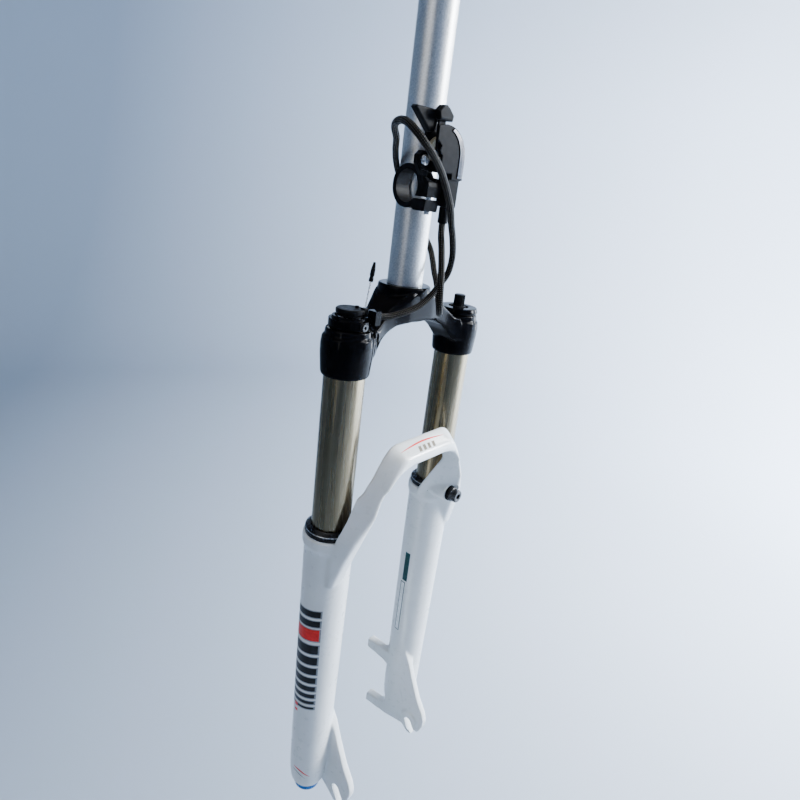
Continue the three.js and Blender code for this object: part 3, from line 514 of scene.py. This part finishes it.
def loft(rings):
    """Closed solid through rings of the same number of points."""
    count = len(rings[0])
    vertices = [p for ring in rings for p in ring]
    faces = [list(range(count)), list(range((len(rings) - 1) * count, len(rings) * count))]
    for i in range(len(rings) - 1):
        for k in range(count):
            n = (k + 1) % count
            faces.append([i * count + k, i * count + n, (i + 1) * count + n, (i + 1) * count + k])
    return solid(vertices, faces)


def prism(outline, low, high, plane):
    """An outline in "xy", "xz" or "yz", made solid along the third axis from low to high."""
    place = {
        "xy": lambda a, b, c: (a, b, c),
        "xz": lambda a, b, c: (a, c, b),
        "yz": lambda a, b, c: (c, a, b),
    }[plane]
    return loft([[place(a, b, c) for a, b in outline] for c in (low, high)])


def revolve(profile, centre=(0, 0), segments=96):
    """A closed (radius, z) loop turned about an upright axis. Points at radius 0 lie on the axis."""
    bm = bmesh.new()
    rings = []
    for radius, z in profile:
        if radius < 1e-6:
            rings.append([bm.verts.new((*centre, z))] * segments)
            continue
        ring = []
        for k in range(segments):
            angle = 2 * math.pi * k / segments
            x = centre[0] + radius * math.cos(angle)
            y = centre[1] + radius * math.sin(angle)
            ring.append(bm.verts.new((x, y, z)))
        rings.append(ring)
    for i, ring in enumerate(rings):
        following = rings[(i + 1) % len(rings)]
        if ring[0] is ring[1] and following[0] is following[1]:
            continue
        for k in range(segments):
            n = (k + 1) % segments
            corners = list(dict.fromkeys([ring[k], ring[n], following[n], following[k]]))
            bm.faces.new(corners)
    bmesh.ops.recalc_face_normals(bm, faces=bm.faces)
    return bm_object(bm)


def modified(piece, kind, **values):
    """Applies one modifier and returns the piece with its new mesh."""
    modifier = piece.modifiers.new("step", kind)
    for key, value in values.items():
        setattr(modifier, key, value)
    graph = bpy.context.evaluated_depsgraph_get()
    mesh = bpy.data.meshes.new_from_object(piece.evaluated_get(graph))
    piece.modifiers.clear()
    old = piece.data
    piece.data = mesh
    bpy.data.meshes.remove(old)
    return piece


def boolean(piece, other, operation):
    modified(piece, "BOOLEAN", object=other, operation=operation, solver="MANIFOLD")
    bpy.data.objects.remove(other)
    return piece


def together(pieces):
    """One object of several overlapping solids."""
    bm = bmesh.new()
    for piece in pieces:
        bm.from_mesh(piece.data)
        bpy.data.objects.remove(piece)
    return bm_object(bm)


def cast(piece, voxel, passes):
    """Melts a solid's parts into one skin with blended inner corners and softened edges."""
    modified(piece, "REMESH", mode="VOXEL", voxel_size=voxel, adaptivity=0)
    return modified(piece, "SMOOTH", factor=0.5, iterations=passes)


def finish_piece(piece, name, body, slot, *replaced, angle=35, look=None):
    """Turns a piece into metres, names it, gives it its material and hands it to its body."""
    piece.name = name
    piece.data.name = name
    piece.data.transform(Matrix.Scale(MM, 4))
    piece.data.materials.clear()
    piece.data.materials.append(look or LOOKS[slot])
    piece.data.shade_smooth()
    piece.data.set_sharp_from_angle(angle=math.radians(angle))
    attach(piece, body)
    if replaced:
        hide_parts(*replaced)
    return piece


def on_leg(side, profile):
    """A profile turned about the axis of the named leg."""
    return revolve(profile, (LEG_X, SIDES[side] * LEG_Y))


def rod_along(axis, radius, low, high, centre, segments=48):
    """A round bar along "x" or "y" through a centre given in the two other coordinates."""
    outline = [(radius * math.cos(a) + centre[0], radius * math.sin(a) + centre[1])
               for a in (2 * math.pi * k / segments for k in range(segments))]
    return prism(outline, low, high, "yz" if axis == "x" else "xz")


# ------------------------------------------------------------------ lower legs

LEG_PROFILE = [
    (0, LEG_BOTTOM), (11, LEG_BOTTOM), (14.4, LEG_BOTTOM + 2), (16.4, LEG_BOTTOM + 6),
    (17.5, LEG_BOTTOM + 15), (18.1, LEG_BOTTOM + 30), (19.2, -350), (20.6, -211), (22.4, -206.5),
    (22.4, COLLAR_TOP - 1.2), (21.6, COLLAR_TOP), (0, COLLAR_TOP),
]
CAVITY_PROFILE = [
    (0, LEG_CAVITY_BOTTOM), (12, LEG_CAVITY_BOTTOM), (16.5, LEG_CAVITY_BOTTOM + 8), (16.5, -326),
    (17.5, -326), (17.5, -216), (18.8, -216), (18.8, COLLAR_TOP - 8), (20.3, COLLAR_TOP - 8),
    (20.3, COLLAR_TOP + 9), (0, COLLAR_TOP + 9),
]
ARCH_OUTER = [
    (30, -114.2), (38, -116), (44, -120), (49, -125.5), (55, -134), (61, -144), (67, -155.5),
    (73, -169.5), (78, -182), (82, -194), (84, -212), (84, -262),
]
ARCH_BACK, ARCH_TAPER_FROM, ARCH_TAPER_RUN, ARCH_TAPER_INSET = -53, 27, 24, 15
ARCH_SIDE = [
    (34.5, -100), (34.5, -140), (32.8, -156), (25, -170), (9.5, -198), (9, -245), (29.2, -240),
    (37, -211), (44.5, -186), (49.5, -171), (52, -158), (52, -100),
]
ARCH_WINDOW = [
    (22, -137.5), (34, -140.5), (41, -145.5), (48, -152.5), (54, -160.5), (75, -195), (75, -300),
]
ARCH_INNER_POINT = Vector((29, 40, -157))
ARCH_INNER_NORMAL = Vector((0.517, -0.801, -0.304)).normalized()
BLADE = [
    (2, -400), (9, -388), (19, -394), (26.5, -406), (34, -424), (45, -447), (54.5, -461), (57, -469),
    (56.5, -476), (52, -487), (46, -489), (44, -496), (38, -497), (30, -491), (20, -484.5), (2, -481),
]
BLADE_INNER, BLADE_OUTER, SEAT_FACE, SEAT_RADIUS = 52.5, 60.0, 50.0, 11.5
UPPER_TAB = [(-32, -413.5), (4, -412.5), (4, -431.5), (-8, -426.5), (-32, -424.5)]
LOWER_TAB = [(-24.5, -487.5), (-6, -485.5), (4, -477.5), (30, -491), (4, -496.5), (-24.5, -498.5)]
TAB_SIDES = (52.5, 62.5)
TAB_HOLES = [(-32, -419), (-24.5, -493)]
TAB_HOLE_RADIUS, TAB_HOLE_Y = 2.5, 57.5
GUIDE_BOSS = {"y": 57.5, "z": -194.0, "radius": 8.5, "from": 22.0, "face": 38.5, "bore": 3.3}
FOOT_BORE, FOOT_RECESS, KNOB_CLEARANCE = 4.0, 8.4, 12.8
ARCH_VOXEL, ARCH_PASSES = 1.2, 26
CASTING_VOXEL, CASTING_PASSES = 1.1, 9


def moved_in(outline, distance):
    """A closed (y, z) outline moved inward by a distance, corner by corner."""
    area = sum(a[0] * b[1] - b[0] * a[1] for a, b in zip(outline, outline[1:] + outline[:1]))
    inward = 1 if area > 0 else -1
    result = []
    for i, point in enumerate(outline):
        before = (Vector(point) - Vector(outline[i - 1])).normalized()
        after = (Vector(outline[(i + 1) % len(outline)]) - Vector(point)).normalized()
        side_before = inward * Vector((-before.y, before.x))
        side_after = inward * Vector((-after.y, after.x))
        corner = (side_before + side_after) / (1 + side_before.dot(side_after))
        result.append(tuple(Vector(point) + distance * corner))
    return result


def arch_solid():
    """The bridge between the legs: an outer hood cut to its side view, with the wheel's window in it."""
    outline = mirrored(ARCH_OUTER)
    tapered = moved_in(outline, ARCH_TAPER_INSET)
    shell = loft([
        [(ARCH_BACK, y, z) for y, z in outline],
        [(ARCH_TAPER_FROM, y, z) for y, z in outline],
        [(ARCH_TAPER_FROM + ARCH_TAPER_RUN, y, z) for y, z in tapered],
    ])
    boolean(shell, prism(ARCH_SIDE, -100, 100, "xz"), "INTERSECT")
    window = prism(mirrored(ARCH_WINDOW), -50, 70, "yz")
    for side in SIDES.values():
        flip = Vector((1, side, 1))
        normal = ARCH_INNER_NORMAL * flip
        block = prism([(-150, -150), (150, -150), (150, 150), (-150, 150)], 0, 300, "xy")
        turn = (-normal).to_track_quat("Z", "Y").to_matrix().to_4x4()
        block.data.transform(Matrix.Translation(ARCH_INNER_POINT * flip) @ turn)
        boolean(window, block, "DIFFERENCE")
    return cast(boolean(shell, window, "DIFFERENCE"), ARCH_VOXEL, ARCH_PASSES)


def both_ways(side, near, far):
    """The low and high y of a slab that lies between two distances from the middle."""
    return sorted((side * near, side * far))


def slot_tool():
    """Cuts the open slot for the axle in both fork ends."""
    arc = [math.pi * k / 24 for k in range(25)]
    outline = [(SLOT_RADIUS * math.cos(a), SLOT_RADIUS * math.sin(a)) for a in arc]
    outline += [(-SLOT_RADIUS, -30), (SLOT_RADIUS, -30)]
    turned = Matrix.Rotation(SLOT_TILT, 2)
    return prism([tuple(turned @ Vector(point) + Vector(AXLE)) for point in outline], -100, 100, "xz")


def casting_solid():
    """The whole casting before any hole is cut, as one blended skin."""
    boss = GUIDE_BOSS
    solids = [
        arch_solid(),
        rod_along("x", boss["radius"], boss["from"], boss["face"], (boss["y"], boss["z"])),
        prism(UPPER_TAB, *TAB_SIDES, "xz"),
        prism(LOWER_TAB, *TAB_SIDES, "xz"),
    ]
    for name, side in SIDES.items():
        solids.append(on_leg(name, LEG_PROFILE))
        solids.append(prism(BLADE, *both_ways(side, BLADE_INNER, BLADE_OUTER), "xz"))
        solids.append(rod_along("y", SEAT_RADIUS, *both_ways(side, SEAT_FACE, BLADE_OUTER), AXLE))
    return cast(together(solids), CASTING_VOXEL, CASTING_PASSES)


def lower_legs():
    """The one-piece casting: two legs, the arch, the fork ends and the caliper tabs."""
    skin = casting_solid()
    tools = [slot_tool()]
    for x, z in TAB_HOLES:
        tools.append(rod_along("x", TAB_HOLE_RADIUS, x - 5, x + 15, (TAB_HOLE_Y, z), 24))
    boss = (GUIDE_BOSS["y"], GUIDE_BOSS["z"])
    tools.append(rod_along("x", GUIDE_BOSS["bore"], 30.5, 60, boss, 32))
    tools.append(rod_along("x", GUIDE_BOSS["radius"] + 1, GUIDE_BOSS["face"], 70, boss))
    above_collar = [(0, COLLAR_TOP), (22.5, COLLAR_TOP), (22.5, -100), (0, -100)]
    foot_bore = [
        (0, LEG_BOTTOM - 5), (FOOT_RECESS, LEG_BOTTOM - 5), (FOOT_RECESS, LEG_BOTTOM + 6),
        (FOOT_BORE, LEG_BOTTOM + 6), (FOOT_BORE, LEG_CAVITY_BOTTOM + 5), (0, LEG_CAVITY_BOTTOM + 5),
    ]
    knob_room = [
        (0, LEG_BOTTOM - 20), (KNOB_CLEARANCE, LEG_BOTTOM - 20), (KNOB_CLEARANCE, LEG_BOTTOM),
        (0, LEG_BOTTOM),
    ]
    for name in SIDES:
        tools += [on_leg(name, profile) for profile in (above_collar, CAVITY_PROFILE, foot_bore)]
    tools.append(on_leg("right", knob_room))
    for tool in tools:
        boolean(skin, tool, "DIFFERENCE")
    return finish_piece(skin, "lower_legs", "lowers", "gloss_white_paint", "lower_casting", angle=50)


# ------------------------------------------------------------------ crown

CROWN_FRONT = [
    (12, -3), (30, -13), (43, -22), (51, -27.8), (56, -28.5), (60, -50), (51, -49), (43, -39.5),
    (34, -32.5), (24, -28.6), (10, -27),
]
CROWN_PLAN_FRONT = [(60, 27), (50, 21.5), (40, 18.5), (28, 18.5), (14, 21)]
CROWN_PLAN_BACK = [(14, -19), (28, -11), (40, -5), (50, -3), (60, -4)]
RACE_BOSS = [(0, -27), (20, -27), (21.5, -8), (21.5, -1.2), (20.5, 0), (0, 0)]
SLEEVE = [
    (0, -CROWN_DROP), (18, -CROWN_DROP), (18.7, -CROWN_DROP + 2), (19.9, -46), (20, -39),
    (19.3, -33.5), (17.6, -31.5), (17.3, -28), (16.4, SLEEVE_TOP), (0, SLEEVE_TOP),
]


ARMS_VOXEL, ARMS_PASSES = 0.8, 70
CROWN_VOXEL, CROWN_PASSES = 0.7, 4


def crown_piece():
    """The forged crown: two arms melted into the race boss and the stanchion sleeves."""
    arms = prism(mirrored(CROWN_FRONT), -24, 30, "yz")
    front = [(x, y) for y, x in CROWN_PLAN_FRONT] + [(x, -y) for y, x in reversed(CROWN_PLAN_FRONT)]
    back = [(x, -y) for y, x in reversed(CROWN_PLAN_BACK)] + [(x, y) for y, x in CROWN_PLAN_BACK]
    boolean(arms, prism(front + back, -75, 5, "xy"), "INTERSECT")
    solids = [cast(arms, ARMS_VOXEL, ARMS_PASSES), revolve(RACE_BOSS)]
    solids += [on_leg(name, SLEEVE) for name in SIDES]
    skin = cast(together(solids), CROWN_VOXEL, CROWN_PASSES)
    leg_bore = STANCHION_RADIUS + GAP
    steerer_bore = STEERER_RADIUS + GAP
    tools = [revolve([(0, -40), (steerer_bore, -40), (steerer_bore, 10), (0, 10)])]
    tools += [on_leg(name, [(0, -80), (leg_bore, -80), (leg_bore, 0), (0, 0)]) for name in SIDES]
    for tool in tools:
        boolean(skin, tool, "DIFFERENCE")
    return finish_piece(skin, "fork_crown", "upper", "gloss_black_paint", "crown", angle=40)


# ------------------------------------------------------------------ turned parts


def welded(node):
    """The CAD node's mesh in millimetres with its split corners joined."""
    bm = bmesh.new()
    bm.from_mesh(node.data)
    bm.transform(Matrix.Scale(1 / MM, 4) @ node.matrix_world)
    bmesh.ops.remove_doubles(bm, verts=bm.verts, dist=0.001)
    return bm


def profile_of(bm, centre, axis):
    """The (radius, height) loop of a lathe-made mesh, read in one half-plane through its axis."""
    centre, axis = Vector(centre), Vector(axis).normalized()
    across = axis.orthogonal().normalized()
    up = axis.cross(across)
    polar = {}
    for vertex in bm.verts:
        arm = vertex.co - centre
        height = arm.dot(axis)
        x, y = arm.dot(across), arm.dot(up)
        polar[vertex] = (math.hypot(x, y), height, math.atan2(y, x))
    reference = next(turn for radius, _, turn in polar.values() if radius > 0.5)
    same = {v for v, (radius, _, turn) in polar.items()
            if radius < 0.01 or abs(math.remainder(turn - reference, 2 * math.pi)) < 0.004}
    beside = {v: [e.other_vert(v) for e in v.link_edges if e.other_vert(v) in same
                  and not (polar[v][0] < 0.01 and polar[e.other_vert(v)][0] < 0.01)] for v in same}
    start = min(same, key=lambda v: (len(beside[v]), polar[v][0]))
    loop, previous = [start], None
    while True:
        onward = [v for v in beside[loop[-1]] if v is not previous and v not in loop]
        if not onward:
            break
        previous = loop[-1]
        loop.append(onward[0])
    return [polar[v][:2] for v in loop]


def respin(name, centre, axis=(0, 0, 1), rounding=0.25, segments=96):
    """A smooth, finely turned copy of a lathe-made CAD node, with its corners broken."""
    bm = welded(nodes[name])
    profile = profile_of(bm, centre, axis)
    bm.free()
    closed = profile[0][0] > 0.01
    piece = revolve(rounded(profile, rounding, closed), segments=segments)
    turn = Vector(axis).to_track_quat("Z", "Y").to_matrix().to_4x4()
    piece.data.transform(Matrix.Translation(centre) @ turn)
    return finish_piece(piece, "turned_" + name, body_of[name], slot_of[name], name)


def ribbed(piece, centre, count, depth, inside):
    """Waves the side of a round upright piece, beyond a radius, into grip ribs."""
    for vertex in piece.data.vertices:
        arm = Vector(vertex.co.xy) - Vector(centre) * MM
        if arm.length > inside * MM:
            wave = math.cos(count * math.atan2(arm.y, arm.x))
            vertex.co.xy = Vector(centre) * MM + arm * (1 - depth * MM / arm.length * (1 + wave) / 2)


def garter_springs():
    """The wire ring that holds each wiper's lip to its stanchion."""
    ring_radius, wire_radius, z = 20.35, 0.45, COLLAR_TOP + 4.3
    wire = [(ring_radius + wire_radius * math.cos(a), z + wire_radius * math.sin(a))
            for a in (2 * math.pi * k / 12 for k in range(12))]
    for side in SIDES:
        finish_piece(on_leg(side, wire), "garter_spring_" + side, "lowers", "steel")


def leg_point(side):
    """A point on the axis of the named leg."""
    return (LEG_X, SIDES[side] * LEG_Y, 0)


LEVER_PLACE = Matrix.Translation(LEVER_ORIGIN) @ Matrix.Rotation(LEVER_TURN, 4, "Z")
BARREL_AXIS = LEVER_PLACE @ Vector((21.5, 12.6, 0))


def turned_parts():
    """Every round part, spun again with a fine outline."""
    respin("steerer_tube", (0, 0, 0), rounding=0.6)
    for side in SIDES:
        respin("stanchion_" + side, leg_point(side))
        respin("dust_wiper_" + side, leg_point(side), rounding=0.7)
        respin("foam_ring_" + side, leg_point(side))
    respin("air_top_cap", leg_point("left"), rounding=0.5)
    valve_cap = respin("air_valve_cap", leg_point("left"), rounding=0.4, segments=160)
    ribbed(valve_cap, (LEG_X, LEG_Y), 20, 0.5, 4.6)
    garter_springs()
    respin("rebound_knob", leg_point("right"), rounding=0.4)
    respin("foot_bolt_right", leg_point("right"))
    respin("dial_stop_pin", (LEG_X + 1.5, -LEG_Y + 5, 0), segments=32)
    respin("hose_guide_washer", (0, GUIDE_BOSS["y"], GUIDE_BOSS["z"]), (1, 0, 0), 0.4)
    respin("barrel_adjuster", BARREL_AXIS, segments=48)
    respin("cable_stop_ferrule", CABLE_STOP, (0, 1, 0), segments=48)


# ------------------------------------------------------------------ moulded and milled parts


def soften(name, voxel, passes, angle=45):
    """A copy of a CAD node with the soft corners of a moulded or tumbled part."""
    piece = bm_object(welded(nodes[name]))
    cast(piece, voxel, passes)
    return finish_piece(piece, "soft_" + name, body_of[name], slot_of[name], name, angle=angle,
                        look=look_of(name))


def plain_cover():
    """The lever's cover, closed over the pivot bolt's end."""
    plug = rod_along("x", 3.2, 26.9, 28.6, (-3, 25))
    plug.data.transform(LEVER_PLACE)
    piece = cast(together([bm_object(welded(nodes["lever_cover"])), plug]), 0.3, 4)
    return finish_piece(piece, "soft_lever_cover", "upper", "black_plastic", "lever_cover", angle=45)


def moulded_parts():
    """The small parts with soft corners. A finer voxel keeps the smallest of them crisp."""
    for name in ("bar_clamp", "lever_housing", "main_lever", "release_lever"):
        soften(name, 0.3, 4)
    plain_cover()
    soften("lockout_housing", 0.3, 3)
    soften("lockout_dial", 0.22, 3)
    soften("cable_end_cap", 0.15, 3)
    for name in ("lever_cover_strip", "lever_mounting_screw", "bar_clamp_bolt", "housing_clamp_screw"):
        soften(name, 0.12, 2)
    soften("hose_guide_screw", 0.2, 2)


# ------------------------------------------------------------------ cable

CABLE_ROUTE = [
    (21.5, -58.2, -17.2), (21.5, -55, -17.2), (21.6, -52, -17.2), (24, -43, -17.6),
    (29, -30.6, -14.2), (32.5, -19.8, -9.5), (35, -10.8, -2.1), (38, -5.5, 6.4), (42, -2.5, 15.8),
    (45.6, -4.8, 28.4), (48.6, -11.9, 41.8), (52.6, -21.9, 52.8), (56.4, -31.1, 63.8),
    (59.2, -39.8, 71.7), (61.8, -50.3, 81), (64, -60, 88.1), (65.3, -69.6, 94.1),
    (64.3, -77.1, 99.7), (61.1, -80.7, 104.3), (54.7, -80.9, 108.7), (44.5, -75.8, 111.4),
    (33, -68.2, 111.3), (21.4, -56.8, 109.2), (10.5, -41.4, 104), (-3.3, -25, 97.2),
    (-14.9, -8.9, 88.4), (-20.5, 4.5, 77), (-20.5, 16, 63), (-16.5, 25, 49.5), (-9, 29, 37),
    (2, 25, 28), (11, 18.5, 20), (17.4, 13.8, 12.4), (25, 8.6, 5), (32.7, 2.6, -4),
    (41.2, -6.2, -10.1), (49.5, -16.7, -11.6), (55.4, -25.2, -7.3), (57.9, -30.1, 1.7),
    (56.2, -29.3, 12.1), (52, -25.7, 24), (46.8, -21.4, 35.5), (42.2, -17.6, 43.3),
    (39.5, -14.7, 50), (39.5, -14.7, 58.5),
]


def centripetal(points, spacing):
    """The CAD's centripetal curve through the points, as points about spacing apart."""
    points = [Vector(p) for p in points]
    padded = [2 * points[0] - points[1], *points, 2 * points[-1] - points[-2]]
    fine = []
    for p0, p1, p2, p3 in zip(padded, padded[1:], padded[2:], padded[3:]):
        t0 = 0
        t1 = t0 + math.sqrt((p1 - p0).length)
        t2 = t1 + math.sqrt((p2 - p1).length)
        t3 = t2 + math.sqrt((p3 - p2).length)
        for k in range(40):
            t = t1 + (t2 - t1) * k / 40
            a1 = p0.lerp(p1, (t - t0) / (t1 - t0))
            a2 = p1.lerp(p2, (t - t1) / (t2 - t1))
            a3 = p2.lerp(p3, (t - t2) / (t3 - t2))
            b1 = a1.lerp(a2, (t - t0) / (t2 - t0))
            b2 = a2.lerp(a3, (t - t1) / (t3 - t1))
            fine.append(b1.lerp(b2, (t - t1) / (t2 - t1)))
    fine.append(points[-1])
    even, walked = [fine[0]], 0.0
    for a, b in zip(fine, fine[1:]):
        walked += (b - a).length
        if walked >= spacing:
            even.append(b)
            walked = 0.0
    even.append(fine[-1])
    return even


def cable_piece():
    """The braided cable housing, with the weave raised on its skin."""
    around, spacing, weave_depth = 40, 0.55, 0.1
    path = centripetal(CABLE_ROUTE, spacing)
    bm = bmesh.new()
    uv_layer = bm.loops.layers.uv.new("UVMap")
    side = Vector((0, 0, 1))
    rings, marks, length = [], [], 0.0
    for i, point in enumerate(path):
        ahead = path[min(i + 1, len(path) - 1)] - path[max(i - 1, 0)]
        ahead.normalize()
        side = (side - side.dot(ahead) * ahead).normalized()
        other = ahead.cross(side)
        if i:
            length += (point - path[i - 1]).length
        lap = length / (2 * math.pi * CABLE_RADIUS)
        ring = []
        for k in range(around):
            turn = k / around
            weave = (math.sin(2 * math.pi * BRAID_STRANDS * (lap + turn))
                     * math.sin(2 * math.pi * BRAID_STRANDS * (turn - lap)))
            radius = CABLE_RADIUS + weave_depth * (weave - 1)
            angle = 2 * math.pi * turn
            outward = math.cos(angle) * side + math.sin(angle) * other
            ring.append(bm.verts.new(point + radius * outward))
        rings.append(ring)
        marks.append(lap)
    for i in range(len(rings) - 1):
        for k in range(around):
            n = (k + 1) % around
            face = bm.faces.new([rings[i][k], rings[i][n], rings[i + 1][n], rings[i + 1][k]])
            corners = [(k, i), (k + 1, i), (k + 1, i + 1), (k, i + 1)]
            for loop, (turn, step) in zip(face.loops, corners):
                loop[uv_layer].uv = (turn / around, marks[step])
    bm.faces.new(list(reversed(rings[0])))
    bm.faces.new(rings[-1])
    bmesh.ops.recalc_face_normals(bm, faces=bm.faces)
    cable = finish_piece(bm_object(bm), "cable", "upper", "braided_housing", "cable_housing", angle=80)
    return cable


# ------------------------------------------------------------------ printed marks on the legs


class Printer:
    """Lays thin printed films on a finished piece, in metres."""

    def __init__(self, piece, body):
        bm = bmesh.new()
        bm.from_mesh(piece.data)
        self.tree = BVHTree.FromBMesh(bm)
        bm.free()
        self.body = body

    def film(self, name, outline, origin, across, up, look, lift=0.05):
        """An outline in millimetres on the plane through origin, thrown along the plane's normal.

        The film is cut into a fine grid, laid on the piece and raised off it by lift millimetres.
        """
        step = 1.0
        across, up = Vector(across).normalized(), Vector(up).normalized()
        throw = across.cross(up).normalized()
        bm = bmesh.new()
        face = bm.faces.new([bm.verts.new((a, b, 0)) for a, b in outline])
        bmesh.ops.triangulate(bm, faces=[face])
        low = [min(p[i] for p in outline) for i in (0, 1)]
        high = [max(p[i] for p in outline) for i in (0, 1)]
        for axis in (0, 1):
            position = low[axis] + step
            while position < high[axis]:
                normal = [0, 0, 0]
                normal[axis] = 1
                place = [0, 0, 0]
                place[axis] = position
                bmesh.ops.bisect_plane(bm, geom=bm.verts[:] + bm.edges[:] + bm.faces[:],
                                       plane_co=place, plane_no=normal)
                position += step
        origin = Vector(origin)
        for vertex in bm.verts:
            start = origin + across * vertex.co.x + up * vertex.co.y
            hit, normal, _, _ = self.tree.ray_cast(start * MM, throw)
            if hit is None:
                raise ValueError(name + " misses the piece")
            if normal.dot(throw) > 0:
                normal = -normal
            vertex.co = (hit + normal * lift * MM) / MM
        bmesh.ops.recalc_face_normals(bm, faces=bm.faces)
        if sum((f.normal.dot(throw) for f in bm.faces)) > 0:
            bmesh.ops.reverse_faces(bm, faces=bm.faces)
        film = bm_object(bm)
        return finish_piece(film, name, self.body, "gloss_white_paint", look=look, angle=60)


def bar(low, high, left, right, slant=0.0):
    """A four-cornered bar whose right-hand end is raised by slant."""
    return [(left, low), (right, low + slant), (right, high + slant), (left, high)]


def swoosh(start, middle, end, thickness):
    """A curved stroke through three points, pointed at both ends."""
    curve = smooth([start, middle, end], steps=8)
    count = len(curve) - 1
    half = [thickness / 2 * math.sin(math.pi * i / count) for i in range(count + 1)]
    upper = [(a, b + h) for (a, b), h in zip(curve, half)]
    lower = [(a, b - h) for (a, b), h in zip(curve, half)]
    return upper + lower[-2:0:-1]


RUNGS = [
    (270, 6), (280, 6), (289, 12), (306, 9), (319, 8), (331, 7), (342, 6), (352, 5), (361, 4),
    (369, 3), (376, 2),
]
RED_RUNG = 2


def printed_marks(piece):
    """Plain bars and strokes on the casting, in six inks. RUNGS are (top, height) of the ladder's bars."""
    black = ink("black_ink", (0.005, 0.005, 0.006))
    grey = ink("grey_ink", (0.22, 0.23, 0.24))
    red = ink("red_ink", (0.62, 0.018, 0.015))
    teal = ink("teal_ink", (0.012, 0.05, 0.052))
    white = ink("white_ink", (0.72, 0.75, 0.76))
    bronze = ink("bronze_ink", (0.16, 0.14, 0.1))
    printer = Printer(piece, "lowers")
    forward, downward = (1, 0, 0), (0, 0, -1)
    outside = (0, -LEG_Y - 40, 0)
    inside = (0, LEG_Y - 40, 0)

    def on_side(name, outline, origin, look, lift=0.05):
        """On the right leg's outside or the left leg's inside. Outlines are (x, depth below the crown)."""
        printer.film(name, outline, origin, forward, downward, look, lift)

    # A ladder of slanted bars with a pale edge, one of them red.
    half, slant = 13.0, 4.0
    for number, (top, height) in enumerate(RUNGS):
        edge = bar(top - 1, top + height + 1, LEG_X - half - 1, LEG_X + half + 1, -slant)
        body = bar(top, top + height, LEG_X - half, LEG_X + half, -slant)
        on_side("rung_edge_%d" % number, edge, outside, grey)
        on_side("rung_%d" % number, body, outside, red if number == RED_RUNG else black, 0.09)
    on_side("dash_upper", bar(375, 379, 2.5, 7, -1), outside, red, 0.13)
    on_side("dash_lower", bar(382, 385, 2.5, 7, -1), outside, red)
    on_side("foot_stroke", swoosh((7, 452), (15, 454), (23, 460), 2.2), outside, red)
    on_side("foot_line", swoosh((5, 456), (12, 457.5), (20, 463), 1.0), outside, black)

    # A sag gauge: a filled bar over a framed one.
    on_side("gauge_filled", bar(275, 309, 4.8, 11), inside, teal)
    on_side("gauge_frame", bar(311, 373, 3.4, 9.2), inside, teal)
    on_side("gauge_field", bar(312, 372, 4.2, 8.4), inside, white, 0.09)

    # On the sloping top of the arch: y across, distance down the slope along the other way.
    arch_origin = (35, 0, -101.4)
    across, down_slope = (0, 1, 0), (0.85, 0, -0.53)
    printer.film("arch_stroke", swoosh((-33, 19.6), (-3, 16.6), (27, 18.4), 1.6),
                 arch_origin, across, down_slope, red)
    for number in range(4):
        left = -13 + 6 * number
        outline = [(left, 25), (left + 3.6, 25), (left + 5.2, 20), (left + 1.6, 20)]
        printer.film("arch_bar_%d" % number, outline, arch_origin, across, down_slope, bronze)


# ------------------------------------------------------------------ building

lower_casting = lower_legs()
crown_piece()
turned_parts()
moulded_parts()
cable_piece()
printed_marks(lower_casting)
